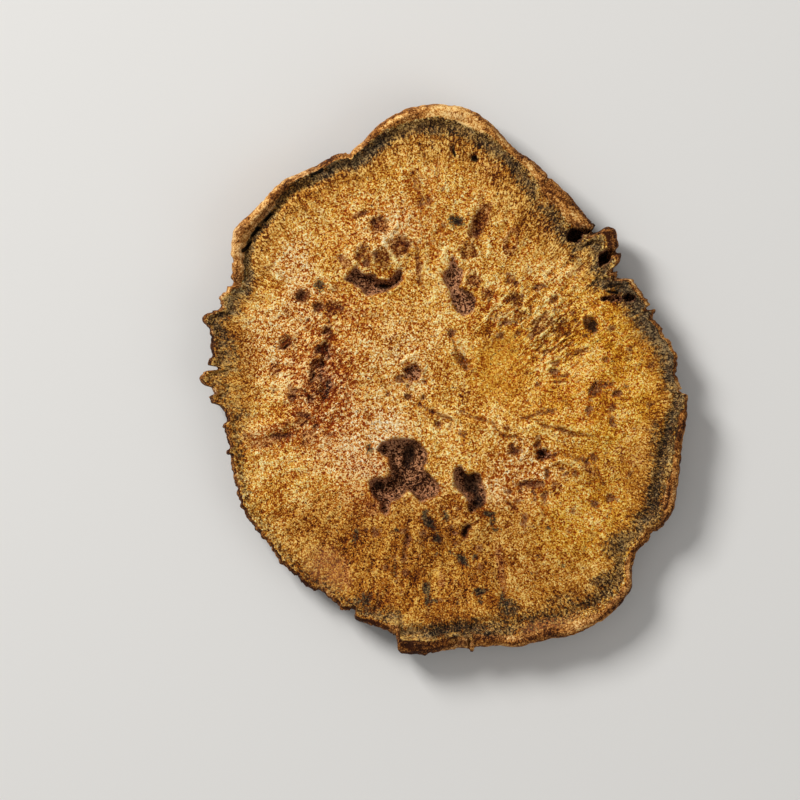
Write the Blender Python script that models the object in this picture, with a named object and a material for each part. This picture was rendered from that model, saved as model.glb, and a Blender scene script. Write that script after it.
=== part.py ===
"""A dried rhubarb root slice, lying on its cut face.

The slice grew as one piece, so it is one closed solid: a knife-cut upper face with drying pits, a bark
rim that stands a little proud of it, and an underside that cups up off the table all round a small flat
spot. X runs across the slice and Y along it. Lengths below are in millimetres and angles in degrees,
turned to metres only where the mesh is made.
"""

import math

import bmesh
import bpy
import numpy as np
from mathutils import Vector
from mathutils.geometry import delaunay_2d_cdt

MM = 0.001

# Driving sizes.
MIDDLE_THICKNESS = 5.0
REST_SPOT = (12.5, 11.0)  # half length and half width of the flat spot below the middle
EDGE_LIFT = 1.35  # how far the dried edge stands off the table

# How finely the surface is divided.
OUTLINE_STEP = 0.75  # along the smooth rim, and down to half of it where the rim is ragged
FACE_LOOPS = (0.75, 1.55, 2.4)  # loops of points that follow the face's edge, this far inside it
FACE_STEP = 1.42
PIT_STEP = 0.58
UNDERSIDE_STEP = 2.3
FINE_ANGLES = 3600  # the outline is first followed at this many angles

# The slice's outline, as its bearing from the middle and its reach.
OUTLINE = [
    (0, 27.2), (4, 27.1), (8, 26.9), (12, 26.1), (16, 25.6), (20, 25.5), (24, 25.2), (28, 24.9),
    (30.5, 23.4), (32.5, 23.7), (34.5, 24.9), (38, 25.6), (42, 26.4), (45, 25.4), (48, 25.1), (56, 25.9),
    (60, 26.3), (64, 26.8), (68, 27.5), (72, 27.9), (76, 29.0), (80, 30.4), (84, 31.5), (88, 32.0),
    (97, 32.0), (101, 31.4), (105, 30.6), (109, 29.4), (113, 28.9), (117, 29.2), (121, 29.1),
    (126, 29.6), (131, 29.9), (136, 29.7), (141, 29.9), (145, 30.1), (149, 29.1), (153, 27.8),
    (157, 27.6), (161, 27.8), (165, 28.4), (169, 27.8), (173, 27.5), (177, 27.2), (181, 27.6),
    (185, 26.9), (189, 25.8), (193, 26.3), (197, 26.4), (201, 26.7), (206, 27.3), (212, 27.8),
    (218, 28.1), (224, 28.3), (230, 28.5), (236, 28.9), (241, 28.8), (246, 28.9), (250, 29.7),
    (255, 29.9), (258, 30.2), (260, 31.8), (263, 32.2), (267, 31.9), (271, 31.4), (276, 31.3),
    (281, 31.5), (285, 32.2), (292, 32.5), (296, 33.2), (300, 33.4), (305, 33.4), (309, 33.1),
    (312, 32.5), (315, 30.9), (318, 30.0), (322, 30.1), (326, 30.5), (329, 30.7), (334, 30.0),
    (340, 29.2), (346, 28.6), (352, 28.5), (356, 28.3), (358.5, 27.4),
]  # fmt: skip

# Splits in the rim and scraps of bark that stand out of it: bearing, width in degrees, and how far
# the outline steps in (below 0) or out.
NICKS_AND_SCRAPS = [
    (44.7, 1.2, -1.1), (36.7, 0.9, -0.5), (33.2, 0.8, -0.6), (31.7, 0.8, 0.3), (19.4, 0.8, -0.5),
    (18.3, 0.9, 0.4), (62.9, 0.6, -0.25), (112.9, 0.8, -0.35), (150.6, 0.8, -0.3), (155.6, 1.2, -0.4),
    (159.4, 1.5, 0.4), (162.3, 1.2, -0.6), (165.8, 2.0, 0.6), (175.6, 1.2, 0.6), (177.1, 0.8, -1.2),
    (179.4, 2.1, 0.9), (182.7, 1.3, -0.5), (184.8, 1.3, 0.6), (191.6, 0.9, 0.4),
    (198.4, 0.9, 0.5), (246.0, 1.3, 0.4), (248.3, 0.9, -0.7), (259.3, 0.8, -0.7), (275.7, 0.6, 0.4),
    (323.6, 1.0, -0.3), (357.2, 0.7, -0.5),
]  # fmt: skip

# How the rim changes round the slice, as bearing and value, eased from one to the next.
RAGGEDNESS = [(0, 0.26), (28, 0.3), (47, 0.1), (60, 0.06), (105, 0.05), (118, 0.1), (150, 0.13),
              (160, 0.28), (200, 0.3), (258, 0.26), (275, 0.16), (292, 0.08), (312, 0.07),
              (322, 0.14), (335, 0.08), (352, 0.1)]  # fmt: skip
EDGE_THICKNESS = [(0, 3.4), (45, 3.8), (75, 4.6), (100, 4.9), (135, 4.7), (160, 3.6), (190, 3.1),
                  (235, 2.7), (262, 3.9), (285, 3.8), (305, 3.6), (322, 3.3), (345, 3.7)]  # fmt: skip
# The face stops this far inside the outline, and the rim slopes down from there.
SHOULDER = [(0, 0.5), (50, 0.9), (75, 1.1), (100, 0.8), (135, 0.7), (155, 0.5), (235, 0.55),
            (257, 0.6), (263, 1.3), (274, 1.0), (284, 0.55), (318, 0.5), (322, 1.1), (327, 0.5),
            (345, 0.45)]  # fmt: skip
# The groove left where the bark has shrunk from the wood: its distance inside the outline and depth.
GROOVE_INSET = [(0, 1.3), (20, 1.6), (30, 2.2), (45, 2.8), (58, 3.2), (66, 2.7), (74, 2.1), (84, 2.9),
                (95, 2.6), (103, 2.2), (110, 1.7), (121, 1.5), (132, 1.7), (146, 2.4), (156, 1.8),
                (165, 1.5), (200, 1.4), (248, 1.5), (262, 2.5), (287, 2.7), (305, 2.3), (320, 1.8),
                (330, 2.4), (340, 2.3), (348, 1.8), (355, 1.4)]  # fmt: skip
GROOVE_DEPTH = [(0, 0.3), (45, 0.2), (90, 0.18), (106, 0.35), (116, 0.62), (148, 0.66), (158, 0.3),
                (240, 0.15), (262, 0.42), (290, 0.28), (325, 0.35), (345, 0.5)]  # fmt: skip
BARK_RAISE = [(0, 0.1), (75, 0.25), (115, 0.4), (145, 0.45), (160, 0.15), (245, 0.05), (270, 0.25),
              (305, 0.1), (335, 0.25)]  # fmt: skip
GROOVE_HALF_WIDTH = 0.55

# Rows down the rim from the face's edge to the underside's edge: how much of the shoulder is still
# to come, and the height as a share of the edge's thickness.
RIM_ROWS = [(0.42, 0.93), (0.06, 0.74), (0.0, 0.46), (0.18, 0.2), (0.62, 0.04)]
UNDERSIDE_INSET = 1.0
BARK_WRINKLE = 0.16

# Pits left where soft tissue shrank away: depth, then round lobes as (x, y, half length, half width,
# tilt of the length from +X).
PITS = {
    "three_lobed": (1.7, [(-4.9, -8.7, 2.7, 1.9, 0), (-4.6, -11.0, 1.9, 1.7, 0), (-7.3, -12.3, 1.5, 1.2, 10),
                          (-2.4, -12.5, 1.7, 1.6, -30), (-6.7, -14.3, 1.2, 0.65, 70)]),
    "leaning": (1.9, [(1.9, -11.3, 1.2, 0.8, -60), (3.2, -12.6, 1.8, 1.3, -62), (3.9, -14.0, 1.2, 0.85, -78)]),
    "crescent": (1.8, [(-10.2, 12.1, 1.1, 0.85, -50), (-8.7, 11.0, 1.4, 1.0, -20), (-7.0, 11.1, 1.2, 0.75, 15),
                       (-5.6, 12.0, 0.95, 0.7, 40)]),
    "hourglass": (1.1, [(0.95, 12.1, 1.15, 1.05, 0), (1.0, 13.9, 1.0, 0.4, 92), (1.5, 10.6, 0.9, 0.75, 110),
                        (2.2, 9.1, 1.35, 1.25, 0)]),
    "round_middle": (0.5, [(-3.8, 0.8, 1.05, 1.0, 0)]),
    "wedge_middle": (0.4, [(2.2, 2.6, 1.5, 0.75, -58), (1.1, 4.6, 1.2, 0.35, -70)]),
    "long_upper": (0.45, [(4.0, 18.4, 2.0, 0.85, 62)]),
    "left_upper": (0.45, [(-7.5, 18.0, 1.1, 0.95, 20)]),
    "left_long": (0.75, [(-13.7, -0.7, 1.8, 0.75, 82), (-14.5, 1.0, 1.3, 1.0, 90), (-13.6, 3.3, 1.3, 0.7, 95)]),
    "left_small": (0.6, [(-16.5, 9.8, 0.8, 0.65, 60)]),
    "right_dark": (0.7, [(17.1, 6.4, 1.0, 0.8, 100)]),
    "right_cross": (0.5, [(17.5, -0.9, 1.0, 0.6, 35)]),
    "lower_right": (0.9, [(11.5, -8.6, 1.0, 0.75, -15)]),
    "lower_flat": (0.6, [(9.7, -12.1, 1.7, 0.55, 2)]),
    "lower_slot": (0.8, [(2.5, -17.5, 1.1, 0.55, 65)]),
    "bark_hole": (2.6, [(15.0, 16.8, 0.8, 0.75, 0), (16.2, 17.2, 0.8, 0.4, 5)]),
    "scrap_hole": (2.0, [(18.6, 14.2, 1.05, 0.65, 45)]),
    "split": (1.0, [(19.3, 9.4, 1.1, 0.35, 0), (21.4, 9.5, 0.7, 0.45, 0)]),
}  # fmt: skip
PIT_BRIM = 1.15  # a lobe's wall starts this far out, as a share of its radius
PIT_WALL = 0.42  # and slopes down over this share of it

# Broad hollows and swellings of the face: x, y, half length, half width, tilt, and height.
SWELLS = [
    (8.0, 0.5, 9.5, 7.5, 10, -0.5), (-13.0, -2.0, 8.0, 11.0, 0, 0.3), (12.5, -14.0, 7.0, 5.0, 40, 0.35),
    (-9.5, 15.0, 8.0, 5.0, 30, 0.3), (0.0, -22.0, 9.0, 5.0, 0, -0.25), (18.0, 3.0, 4.0, 9.0, 0, 0.25),
]  # fmt: skip
# Folds pulled up as the slice dried: from, to, half width and height.
FOLDS = [
    ((9.0, -3.6), (20.0, -7.2), 0.55, 0.28), ((11.5, -8.0), (20.5, -13.0), 0.6, 0.3),
    ((-1.8, -3.4), (8.8, -6.8), 0.35, 0.22), ((13.0, -12.0), (19.5, -17.5), 0.8, 0.25),
    ((-16.5, -4.0), (-24.0, -7.0), 0.7, 0.22), ((-12.0, 6.0), (-22.0, 9.5), 0.8, 0.2),
    ((5.2, -15.0), (6.8, -27.0), 0.7, -0.25), ((9.5, 3.5), (13.5, 8.5), 0.7, 0.25),
]  # fmt: skip
UNDULATION = (0.22, 9.0)  # height and spacing of the face's slow waves
GRAIN = (0.07, 1.9)  # height and spacing of its short lumps


def ease(t):
    """A smooth step from 0 to 1."""
    t = np.clip(t, 0.0, 1.0)
    return t * t * (3 - 2 * t)


def waves(x, y, seed):
    """Seeded smooth noise between about -1 and 1, with a bump for about every unit of length."""
    column, row = np.floor(x).astype(np.int64), np.floor(y).astype(np.int64)
    fx, fy = x - column, y - row

    def slope(i, j):
        mixed = (column + i) * 374761393 + (row + j) * 668265263 + seed * 1442695041
        mixed = ((mixed ^ (mixed >> 13)) * 1274126177) & 0xFFFFFFFF
        angle = (mixed ^ (mixed >> 16)) / 0xFFFFFFFF * 2 * math.pi
        return np.cos(angle) * (fx - i) + np.sin(angle) * (fy - j)

    u, v = ease(fx), ease(fy)
    low = slope(0, 0) * (1 - u) + slope(1, 0) * u
    high = slope(0, 1) * (1 - u) + slope(1, 1) * u
    return (low * (1 - v) + high * v) * 1.5


def round_the_slice(table, bearing):
    """A value from a table of (bearing, value), eased between its rows and joined up at 360."""
    angles = np.array([row[0] for row in table] + [table[0][0] + 360.0])
    values = np.array([row[1] for row in table] + [table[0][1]], float)
    bearing = (np.asarray(bearing, float) - angles[0]) % 360 + angles[0]
    i = np.clip(np.searchsorted(angles, bearing, side="right") - 1, 0, len(table) - 1)
    share = ease((bearing - angles[i]) / (angles[i + 1] - angles[i]))
    return values[i] * (1 - share) + values[i + 1] * share


def smooth_outline(bearing):
    """The outline's reach at a bearing, on a curve through its points."""
    count = len(OUTLINE)
    angles = np.array([p[0] for p in OUTLINE], float)
    reach = np.array([p[1] for p in OUTLINE], float)
    bearing = np.asarray(bearing, float) % 360
    i = np.searchsorted(angles, bearing, side="right") - 1
    here, after = i % count, (i + 1) % count
    step = (angles[after] - angles[here]) % 360
    t = ((bearing - angles[here]) % 360) / step
    before_gap = (angles[here] - angles[here - 1]) % 360
    after_gap = (angles[(after + 1) % count] - angles[after]) % 360
    slope_here = (reach[after] - reach[here - 1]) / (step + before_gap) * step
    slope_after = (reach[(after + 1) % count] - reach[here]) / (step + after_gap) * step
    return (
        reach[here] * (1 + 2 * t) * (1 - t) ** 2
        + slope_here * t * (1 - t) ** 2
        + reach[after] * t * t * (3 - 2 * t)
        + slope_after * t * t * (t - 1)
    )


def outline_reach(bearing):
    """The outline with its splits, bark scraps and ragged edge."""
    bearing = np.asarray(bearing, float)
    reach = smooth_outline(bearing)
    for at, width, out in NICKS_AND_SCRAPS:
        away = np.abs((bearing - at + 180) % 360 - 180) / width
        reach = reach + out * ease(1.7 * (1 - away))
    turn = np.radians(bearing)
    x, y = reach * np.cos(turn), reach * np.sin(turn)
    rough = waves(x / 2.2, y / 2.2, 11) + 0.6 * waves(x / 1.1, y / 1.1, 12)
    return reach + round_the_slice(RAGGEDNESS, bearing) * rough


def lobe_share(x, y, lobe):
    """1 at the middle of a lobe, 0 on its edge and below 0 outside it."""
    cx, cy, length, width, tilt = lobe[:5]
    c, s = math.cos(math.radians(tilt)), math.sin(math.radians(tilt))
    along, across = (x - cx) * c + (y - cy) * s, (y - cy) * c - (x - cx) * s
    return 1 - np.hypot(along / length, across / width)


def from_segment(x, y, start, end):
    """The distance to a straight stretch, and the share of the way along it."""
    (ax, ay), (bx, by) = start, end
    dx, dy = bx - ax, by - ay
    share = np.clip(((x - ax) * dx + (y - ay) * dy) / (dx * dx + dy * dy), 0, 1)
    return np.hypot(x - ax - share * dx, y - ay - share * dy), share


class Slice:
    """The slice's outline and the heights of its two faces."""

    def __init__(self):
        self.bearings = np.arange(FINE_ANGLES) * 360 / FINE_ANGLES
        self.reaches = outline_reach(self.bearings)

    def reach(self, bearing):
        return np.interp(np.asarray(bearing) % 360, np.append(self.bearings, 360.0),
                         np.append(self.reaches, self.reaches[0]))

    def edge_loop(self, step):
        """Bearings spaced along the outline: a step apart where it is smooth, and closer where ragged."""
        bearing = np.append(self.bearings, 360.0)
        turn, reach = np.radians(bearing), self.reach(bearing)
        length = np.hypot(np.diff(reach * np.cos(turn)), np.diff(reach * np.sin(turn)))
        finer = 0.85 + 3 * round_the_slice(RAGGEDNESS, self.bearings)
        run = np.concatenate([[0], np.cumsum(length * finer)])
        count = round(run[-1] / step)
        return np.interp(np.arange(count) * run[-1] / count, run, bearing)

    def inside(self, x, y):
        """(bearing, distance inside the outline) of points."""
        bearing = np.degrees(np.arctan2(y, x)) % 360
        return bearing, self.reach(bearing) - np.hypot(x, y)

    def underside(self, x, y):
        """The underside: flat in the middle and cupped up towards the edge."""
        bearing, _ = self.inside(x, y)
        spot = np.hypot(x / REST_SPOT[0], y / REST_SPOT[1])
        edge = np.hypot(x, y) / np.maximum(spot, 1e-6)
        out = (np.hypot(x, y) - edge) / (smooth_outline(bearing) - edge)
        lift = EDGE_LIFT * (1 + 0.25 * np.sin(np.radians(2 * bearing + 40)))
        rise = np.where(spot > 1, np.clip(out, 0, 1.1), 0.0)
        return lift * rise**1.4 * (1 + 0.12 * waves(x / 6, y / 6, 21))

    def face(self, x, y):
        """The upper cut face, pits and groove included."""
        bearing, inside = self.inside(x, y)
        share = np.clip(np.hypot(x, y) / smooth_outline(bearing), 0, 1)
        thickness = MIDDLE_THICKNESS + (round_the_slice(EDGE_THICKNESS, bearing) - MIDDLE_THICKNESS) * ease(
            (share - 0.35) / 0.65)
        z = self.underside(x, y) + thickness
        for x0, y0, length, width, tilt, height in SWELLS:
            z = z + height * ease(lobe_share(x, y, (x0, y0, length, width, tilt)))
        for start, end, width, height in FOLDS:
            away, along = from_segment(x, y, start, end)
            z = z + height * ease(1 - away / (2 * width)) * ease(4 * along) * ease(4 * (1 - along))
        z = z + UNDULATION[0] * waves(x / UNDULATION[1], y / UNDULATION[1], 31)
        z = z + GRAIN[0] * waves(x / GRAIN[1], y / GRAIN[1], 32)
        inset = round_the_slice(GROOVE_INSET, bearing) + 0.3 * waves(x / 3, y / 3, 33)
        z = z - round_the_slice(GROOVE_DEPTH, bearing) * ease(1 - np.abs(inside - inset) / (2 * GROOVE_HALF_WIDTH))
        z = z + round_the_slice(BARK_RAISE, bearing) * ease((inset - inside) / 1.2)
        for depth, lobes in PITS.values():
            deepest = np.max([lobe_share(x, y, lobe) for lobe in lobes], axis=0)
            z = z - depth * ease((deepest + PIT_BRIM - 1) / PIT_WALL)
        return z


def hex_points(shape, step, margin, seed):
    """Points on a slightly shuffled triangular grid, kept a margin inside the outline."""
    rows, columns = int(36 / (step * 0.866)), int(32 / step)
    i, j = np.meshgrid(np.arange(-columns, columns + 1), np.arange(-rows, rows + 1))
    x = (i + 0.5 * (j % 2)).ravel() * step
    y = j.ravel() * step * 0.866
    random = np.random.default_rng(seed)
    x = x + random.uniform(-0.16, 0.16, x.size) * step
    y = y + random.uniform(-0.16, 0.16, y.size) * step
    keep = shape.inside(x, y)[1] > margin
    return np.column_stack([x[keep], y[keep]])


def pit_points():
    """Points along each pit's brim and the foot of its wall, so that its shape stays crisp."""
    rings = []
    for _, lobes in PITS.values():
        for cx, cy, length, width, tilt in lobes:
            c, s = math.cos(math.radians(tilt)), math.sin(math.radians(tilt))
            for size in (PIT_BRIM, PIT_BRIM - PIT_WALL, 0.3):
                count = max(6, round(2 * math.pi * math.sqrt(length * width) * size / PIT_STEP))
                turn = np.arange(count) * 2 * math.pi / count
                along, across = size * length * np.cos(turn), size * width * np.sin(turn)
                x, y = cx + along * c - across * s, cy + along * s + across * c
                # Where lobes run together, only the outermost one's ring is kept.
                outer = np.max([lobe_share(x, y, lobe) for lobe in lobes], axis=0) < 1.03 - size
                rings.append(np.column_stack([x, y])[outer])
    return np.vstack(rings)


def thinned(points, fixed, least):
    """The points that keep a least distance from each other and from the fixed ones, first come first."""
    kept = list(fixed)
    cells = {}
    for p in kept:
        cells.setdefault((math.floor(p[0] / least), math.floor(p[1] / least)), []).append(p)
    for p in points:
        column, row = math.floor(p[0] / least), math.floor(p[1] / least)
        near = [q for i in (-1, 0, 1) for j in (-1, 0, 1) for q in cells.get((column + i, row + j), [])]
        if all(math.hypot(p[0] - q[0], p[1] - q[1]) >= least for q in near):
            kept.append(p)
            cells.setdefault((column, row), []).append(p)
    return np.array(kept[len(fixed):]).reshape(-1, 2)


def triangulated(loop, points):
    """Triangles that fill a closed loop and use the points inside it. The loop's points come first."""
    flat = [Vector(p) for p in np.vstack([loop, points])]
    count = len(loop)
    edges = [(i, (i + 1) % count) for i in range(count)]
    made, _, faces, origins, _, _ = delaunay_2d_cdt(flat, edges, [], 1, 1e-5, True)
    if len(made) != len(flat):
        raise ValueError("the outline crosses itself, or two points fall together")
    source = [origin[0] for origin in origins]
    filled = []
    for face in faces:
        a, b, c = (source[i] for i in face)
        # A triangle that bridges a dent from the outside takes the loop's points backwards.
        if max(a, b, c) >= count or (b - a) % count + (c - b) % count < count:
            filled.append([a, b, c])
    return filled


def rim_rows(shape, bearings):
    """The loops of points from the face's edge down to the underside's edge."""
    turn = np.radians(bearings)
    cos, sin = np.cos(turn), np.sin(turn)
    reach = shape.reach(bearings)
    shoulder = round_the_slice(SHOULDER, bearings)
    face_reach, under_reach = reach - shoulder, reach - UNDERSIDE_INSET
    top = shape.face(face_reach * cos, face_reach * sin)
    bottom = shape.underside(under_reach * cos, under_reach * sin)
    rows = [np.column_stack([face_reach * cos, face_reach * sin, top])]
    for number, (still_in, height) in enumerate(RIM_ROWS):
        inset = still_in * (shoulder if height > 0.4 else UNDERSIDE_INSET)
        wrinkle = BARK_WRINKLE * waves(reach * cos / 1.4, reach * sin / 1.4 + number * 0.45, 41)
        row_reach = reach - inset + np.where(still_in > 0, wrinkle, 0.0)
        rows.append(np.column_stack([row_reach * cos, row_reach * sin, bottom + (top - bottom) * height]))
    rows.append(np.column_stack([under_reach * cos, under_reach * sin, bottom]))
    return rows


def face_spread(shape, bearings, brim):
    """The face's points: loops that follow its edge, rings in the pits, and a grid over the rest."""
    turn = np.radians(bearings)
    reach = np.hypot(brim[:, 0], brim[:, 1])
    loops = [np.column_stack([(reach - step_in) * np.cos(turn), (reach - step_in) * np.sin(turn)])
             for step_in in FACE_LOOPS]  # fmt: skip
    close = np.vstack([pit_points(), *loops])
    close = thinned(close[shape.inside(close[:, 0], close[:, 1])[1] > 1.2], brim, 0.36)
    grid = thinned(hex_points(shape, FACE_STEP, 1.6, 51), np.vstack([brim, close]), 0.72)
    return np.vstack([close, grid])


def underside_spread(shape, hem):
    """The underside's points, and how many of them, from the first, are on its flat spot."""
    turn = np.arange(36) * math.pi / 18
    spot = np.column_stack([REST_SPOT[0] * np.cos(turn), REST_SPOT[1] * np.sin(turn)])
    grid = hex_points(shape, UNDERSIDE_STEP, 1.9, 52)
    grid = grid[np.hypot(grid[:, 0] / REST_SPOT[0], grid[:, 1] / REST_SPOT[1]) > 1]
    grid = thinned(grid, np.vstack([hem, spot]), 1.1)
    # Three points make one wide triangle round the middle of the spot.
    return np.vstack([spot, 0.5 * spot[3::12], grid]), len(spot) + 3


def root_slice(material):
    """The whole slice as one closed mesh."""
    shape = Slice()
    bearings = shape.edge_loop(OUTLINE_STEP)
    rows = rim_rows(shape, bearings)
    count = len(bearings)

    brim, hem = rows[0][:, :2], rows[-1][:, :2]
    face_points = face_spread(shape, bearings, brim)
    face_triangles = triangulated(brim, face_points)
    face_z = shape.face(face_points[:, 0], face_points[:, 1])
    under_points, flat_count = underside_spread(shape, hem)
    under_triangles = triangulated(hem, under_points)
    under_z = shape.underside(under_points[:, 0], under_points[:, 1])
    under_z[:flat_count] = 0.0

    points = np.vstack([
        *rows,
        np.column_stack([face_points, face_z]),
        np.column_stack([under_points, under_z]),
    ])
    points[:, :2] -= (points[:, :2].min(axis=0) + points[:, :2].max(axis=0)) / 2
    first_face, first_hem = len(rows) * count, (len(rows) - 1) * count
    first_under = first_face + len(face_points)
    faces = [[i if i < count else first_face + i - count for i in f] for f in face_triangles]
    faces += [[first_hem + i if i < count else first_under + i - count for i in f[::-1]]
              for f in under_triangles]
    for row in range(len(rows) - 1):
        for i in range(count):
            a, b = row * count + i, row * count + (i + 1) % count
            faces += [(a, a + count, b), (b, a + count, b + count)]

    mesh = bpy.data.meshes.new("root_slice")
    mesh.from_pydata([tuple(p * MM) for p in points], [], [tuple(f) for f in faces])
    mesh.validate()
    shaped = bmesh.new()
    shaped.from_mesh(mesh)
    bmesh.ops.recalc_face_normals(shaped, faces=shaped.faces)
    shaped.to_mesh(mesh)
    shaped.free()
    mesh.shade_smooth()
    mesh.materials.append(material)
    made = bpy.data.objects.new("root_slice", mesh)
    bpy.context.scene.collection.objects.link(made)
    return made


def dried_root():
    """Dry, chalky root flesh: an ochre yellow with no gloss."""
    made = bpy.data.materials.new("dried_root")
    made.use_nodes = True
    surface = made.node_tree.nodes["Principled BSDF"]
    surface.inputs["Base Color"].default_value = (0.52, 0.27, 0.07, 1.0)
    surface.inputs["Roughness"].default_value = 0.85
    surface.inputs["Metallic"].default_value = 0.0
    return made


for thing in list(bpy.data.objects):
    bpy.data.objects.remove(thing)
root_slice(dried_root())
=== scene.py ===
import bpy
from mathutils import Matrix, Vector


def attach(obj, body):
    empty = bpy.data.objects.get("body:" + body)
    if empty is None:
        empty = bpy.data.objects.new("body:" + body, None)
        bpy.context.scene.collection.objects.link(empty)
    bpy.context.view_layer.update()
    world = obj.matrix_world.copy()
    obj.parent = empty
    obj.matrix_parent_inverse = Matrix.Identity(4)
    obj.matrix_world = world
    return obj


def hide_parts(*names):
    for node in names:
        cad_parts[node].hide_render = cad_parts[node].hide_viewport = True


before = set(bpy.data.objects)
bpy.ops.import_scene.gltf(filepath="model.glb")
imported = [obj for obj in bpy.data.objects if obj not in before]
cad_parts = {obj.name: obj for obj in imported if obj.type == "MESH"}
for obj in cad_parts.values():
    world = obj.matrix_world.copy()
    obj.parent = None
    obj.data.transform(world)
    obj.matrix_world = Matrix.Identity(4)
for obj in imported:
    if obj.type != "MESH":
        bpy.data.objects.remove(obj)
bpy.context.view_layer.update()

import math

import bpy
import numpy as np

# The root slice.
# A knife-cut cross-section of a rhubarb root, dried until the flesh turned granular and the bark shrank
# and curled. Flesh, cambium and bark grew together, so one closed mesh stands for the whole slice.
# Lengths here are in millimetres and bearings in degrees from the middle of the slice.

MM = 0.001
MIDDLE_THICKNESS = 5.0
REST_SPOT = (12.5, 11.0)  # half length and half width of the flat spot below the middle
EDGE_LIFT = 1.35
SHOULDER_ROWS = 3  # rim rows between each pair of the profile's points

OUTLINE = [
    (0, 27.2), (4, 27.1), (8, 26.9), (12, 26.1), (16, 25.6), (20, 25.5), (24, 25.2), (28, 24.9),
    (30.5, 23.4), (32.5, 23.7), (34.5, 24.9), (38, 25.6), (42, 26.4), (45, 25.4), (48, 25.1), (56, 25.9),
    (60, 26.3), (64, 26.8), (68, 27.5), (72, 27.9), (76, 29.0), (80, 30.4), (84, 31.5), (88, 32.0),
    (97, 32.0), (101, 31.4), (105, 30.6), (109, 29.4), (113, 28.9), (117, 29.2), (121, 29.1),
    (126, 29.6), (131, 29.9), (136, 29.7), (141, 29.9), (145, 30.1), (149, 29.1), (153, 27.8),
    (157, 27.6), (161, 27.8), (165, 28.4), (169, 27.8), (173, 27.5), (177, 27.2), (181, 27.6),
    (185, 26.9), (189, 25.8), (193, 26.3), (197, 26.4), (201, 26.7), (206, 27.3), (212, 27.8),
    (218, 28.1), (224, 28.3), (230, 28.5), (236, 28.9), (241, 28.8), (246, 28.9), (250, 29.7),
    (255, 29.9), (258, 30.2), (260, 31.8), (263, 32.2), (267, 31.9), (271, 31.4), (276, 31.3),
    (281, 31.5), (285, 32.2), (292, 32.5), (296, 33.2), (300, 33.4), (305, 33.4), (309, 33.1),
    (312, 32.5), (315, 30.9), (318, 30.0), (322, 30.1), (326, 30.5), (329, 30.7), (334, 30.0),
    (340, 29.2), (346, 28.6), (352, 28.5), (356, 28.3), (358.5, 27.4),
]
# Splits in the rim and scraps of bark that stand out of it: bearing, width, and step in (below 0) or out.
NICKS_AND_SCRAPS = [
    (44.7, 1.2, -1.1), (36.7, 0.9, -0.5), (33.2, 0.8, -0.6), (31.7, 0.8, 0.3), (19.4, 0.8, -0.5),
    (18.3, 0.9, 0.4), (62.9, 0.6, -0.25), (112.9, 0.8, -0.35), (150.6, 0.8, -0.3), (155.6, 1.2, -0.4),
    (159.4, 1.5, 0.4), (162.3, 1.2, -0.6), (165.8, 2.0, 0.6), (175.6, 1.4, 0.5), (177.1, 0.7, -0.8),
    (179.4, 2.4, 0.8), (182.7, 1.3, -0.3), (184.8, 1.5, 0.5), (191.6, 0.9, 0.4),
    (198.4, 0.9, 0.5), (246.0, 1.3, 0.4), (248.3, 0.9, -0.7), (259.3, 0.8, -0.7), (275.7, 0.6, 0.4),
    (323.6, 1.0, -0.3), (357.2, 0.7, -0.5),
]
# How the rim changes round the slice, as bearing and value.
RAGGEDNESS = [(0, 0.26), (28, 0.3), (47, 0.1), (60, 0.06), (105, 0.05), (118, 0.1), (150, 0.13),
              (160, 0.22), (200, 0.24), (230, 0.3), (258, 0.26), (275, 0.16), (292, 0.08), (312, 0.07),
              (322, 0.14), (335, 0.08), (352, 0.1)]
EDGE_THICKNESS = [(0, 3.4), (45, 3.8), (75, 4.6), (100, 4.9), (135, 4.7), (160, 3.6), (190, 3.1),
                  (235, 2.7), (262, 3.9), (285, 3.8), (305, 3.6), (322, 3.3), (345, 3.7)]
SHOULDER = [(0, 0.5), (50, 0.9), (75, 1.1), (100, 0.8), (135, 0.7), (155, 0.5), (235, 0.55),
            (257, 0.6), (263, 1.3), (274, 1.0), (284, 0.55), (318, 0.5), (322, 1.1), (327, 0.5),
            (345, 0.45)]
GROOVE_INSET = [(0, 1.3), (20, 1.6), (30, 2.2), (45, 2.8), (58, 3.2), (66, 2.7), (74, 2.1), (84, 2.9),
                (95, 2.6), (103, 2.2), (110, 1.7), (121, 1.5), (132, 1.7), (146, 2.4), (156, 1.8),
                (165, 1.5), (200, 1.4), (248, 1.5), (262, 2.5), (287, 2.7), (305, 2.3), (320, 1.8),
                (330, 2.4), (340, 2.3), (348, 1.8), (355, 1.4)]
GROOVE_DEPTH = [(0, 0.3), (45, 0.2), (90, 0.18), (106, 0.35), (116, 0.62), (148, 0.66), (158, 0.3),
                (240, 0.15), (262, 0.42), (290, 0.28), (325, 0.35), (345, 0.5)]
BARK_RAISE = [(0, 0.1), (75, 0.25), (115, 0.4), (145, 0.45), (160, 0.15), (245, 0.05), (270, 0.25),
              (305, 0.1), (335, 0.25)]
GROOVE_HALF_WIDTH = 0.55
# The rim's profile from the cut face to the underside: share of the shoulder still to come, share of
# the underside's inset already gone, and height as a share of the edge's thickness.
RIM_PROFILE = [
    (1, 0, 1), (0.42, 0, 0.93), (0.06, 0, 0.74), (0, 0, 0.46), (0, 0.18, 0.2), (0, 0.62, 0.04), (0, 1, 0),
]
UNDERSIDE_INSET = 1.0
BARK_WRINKLE = 0.16
BARK_FURROW = 0.13

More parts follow.
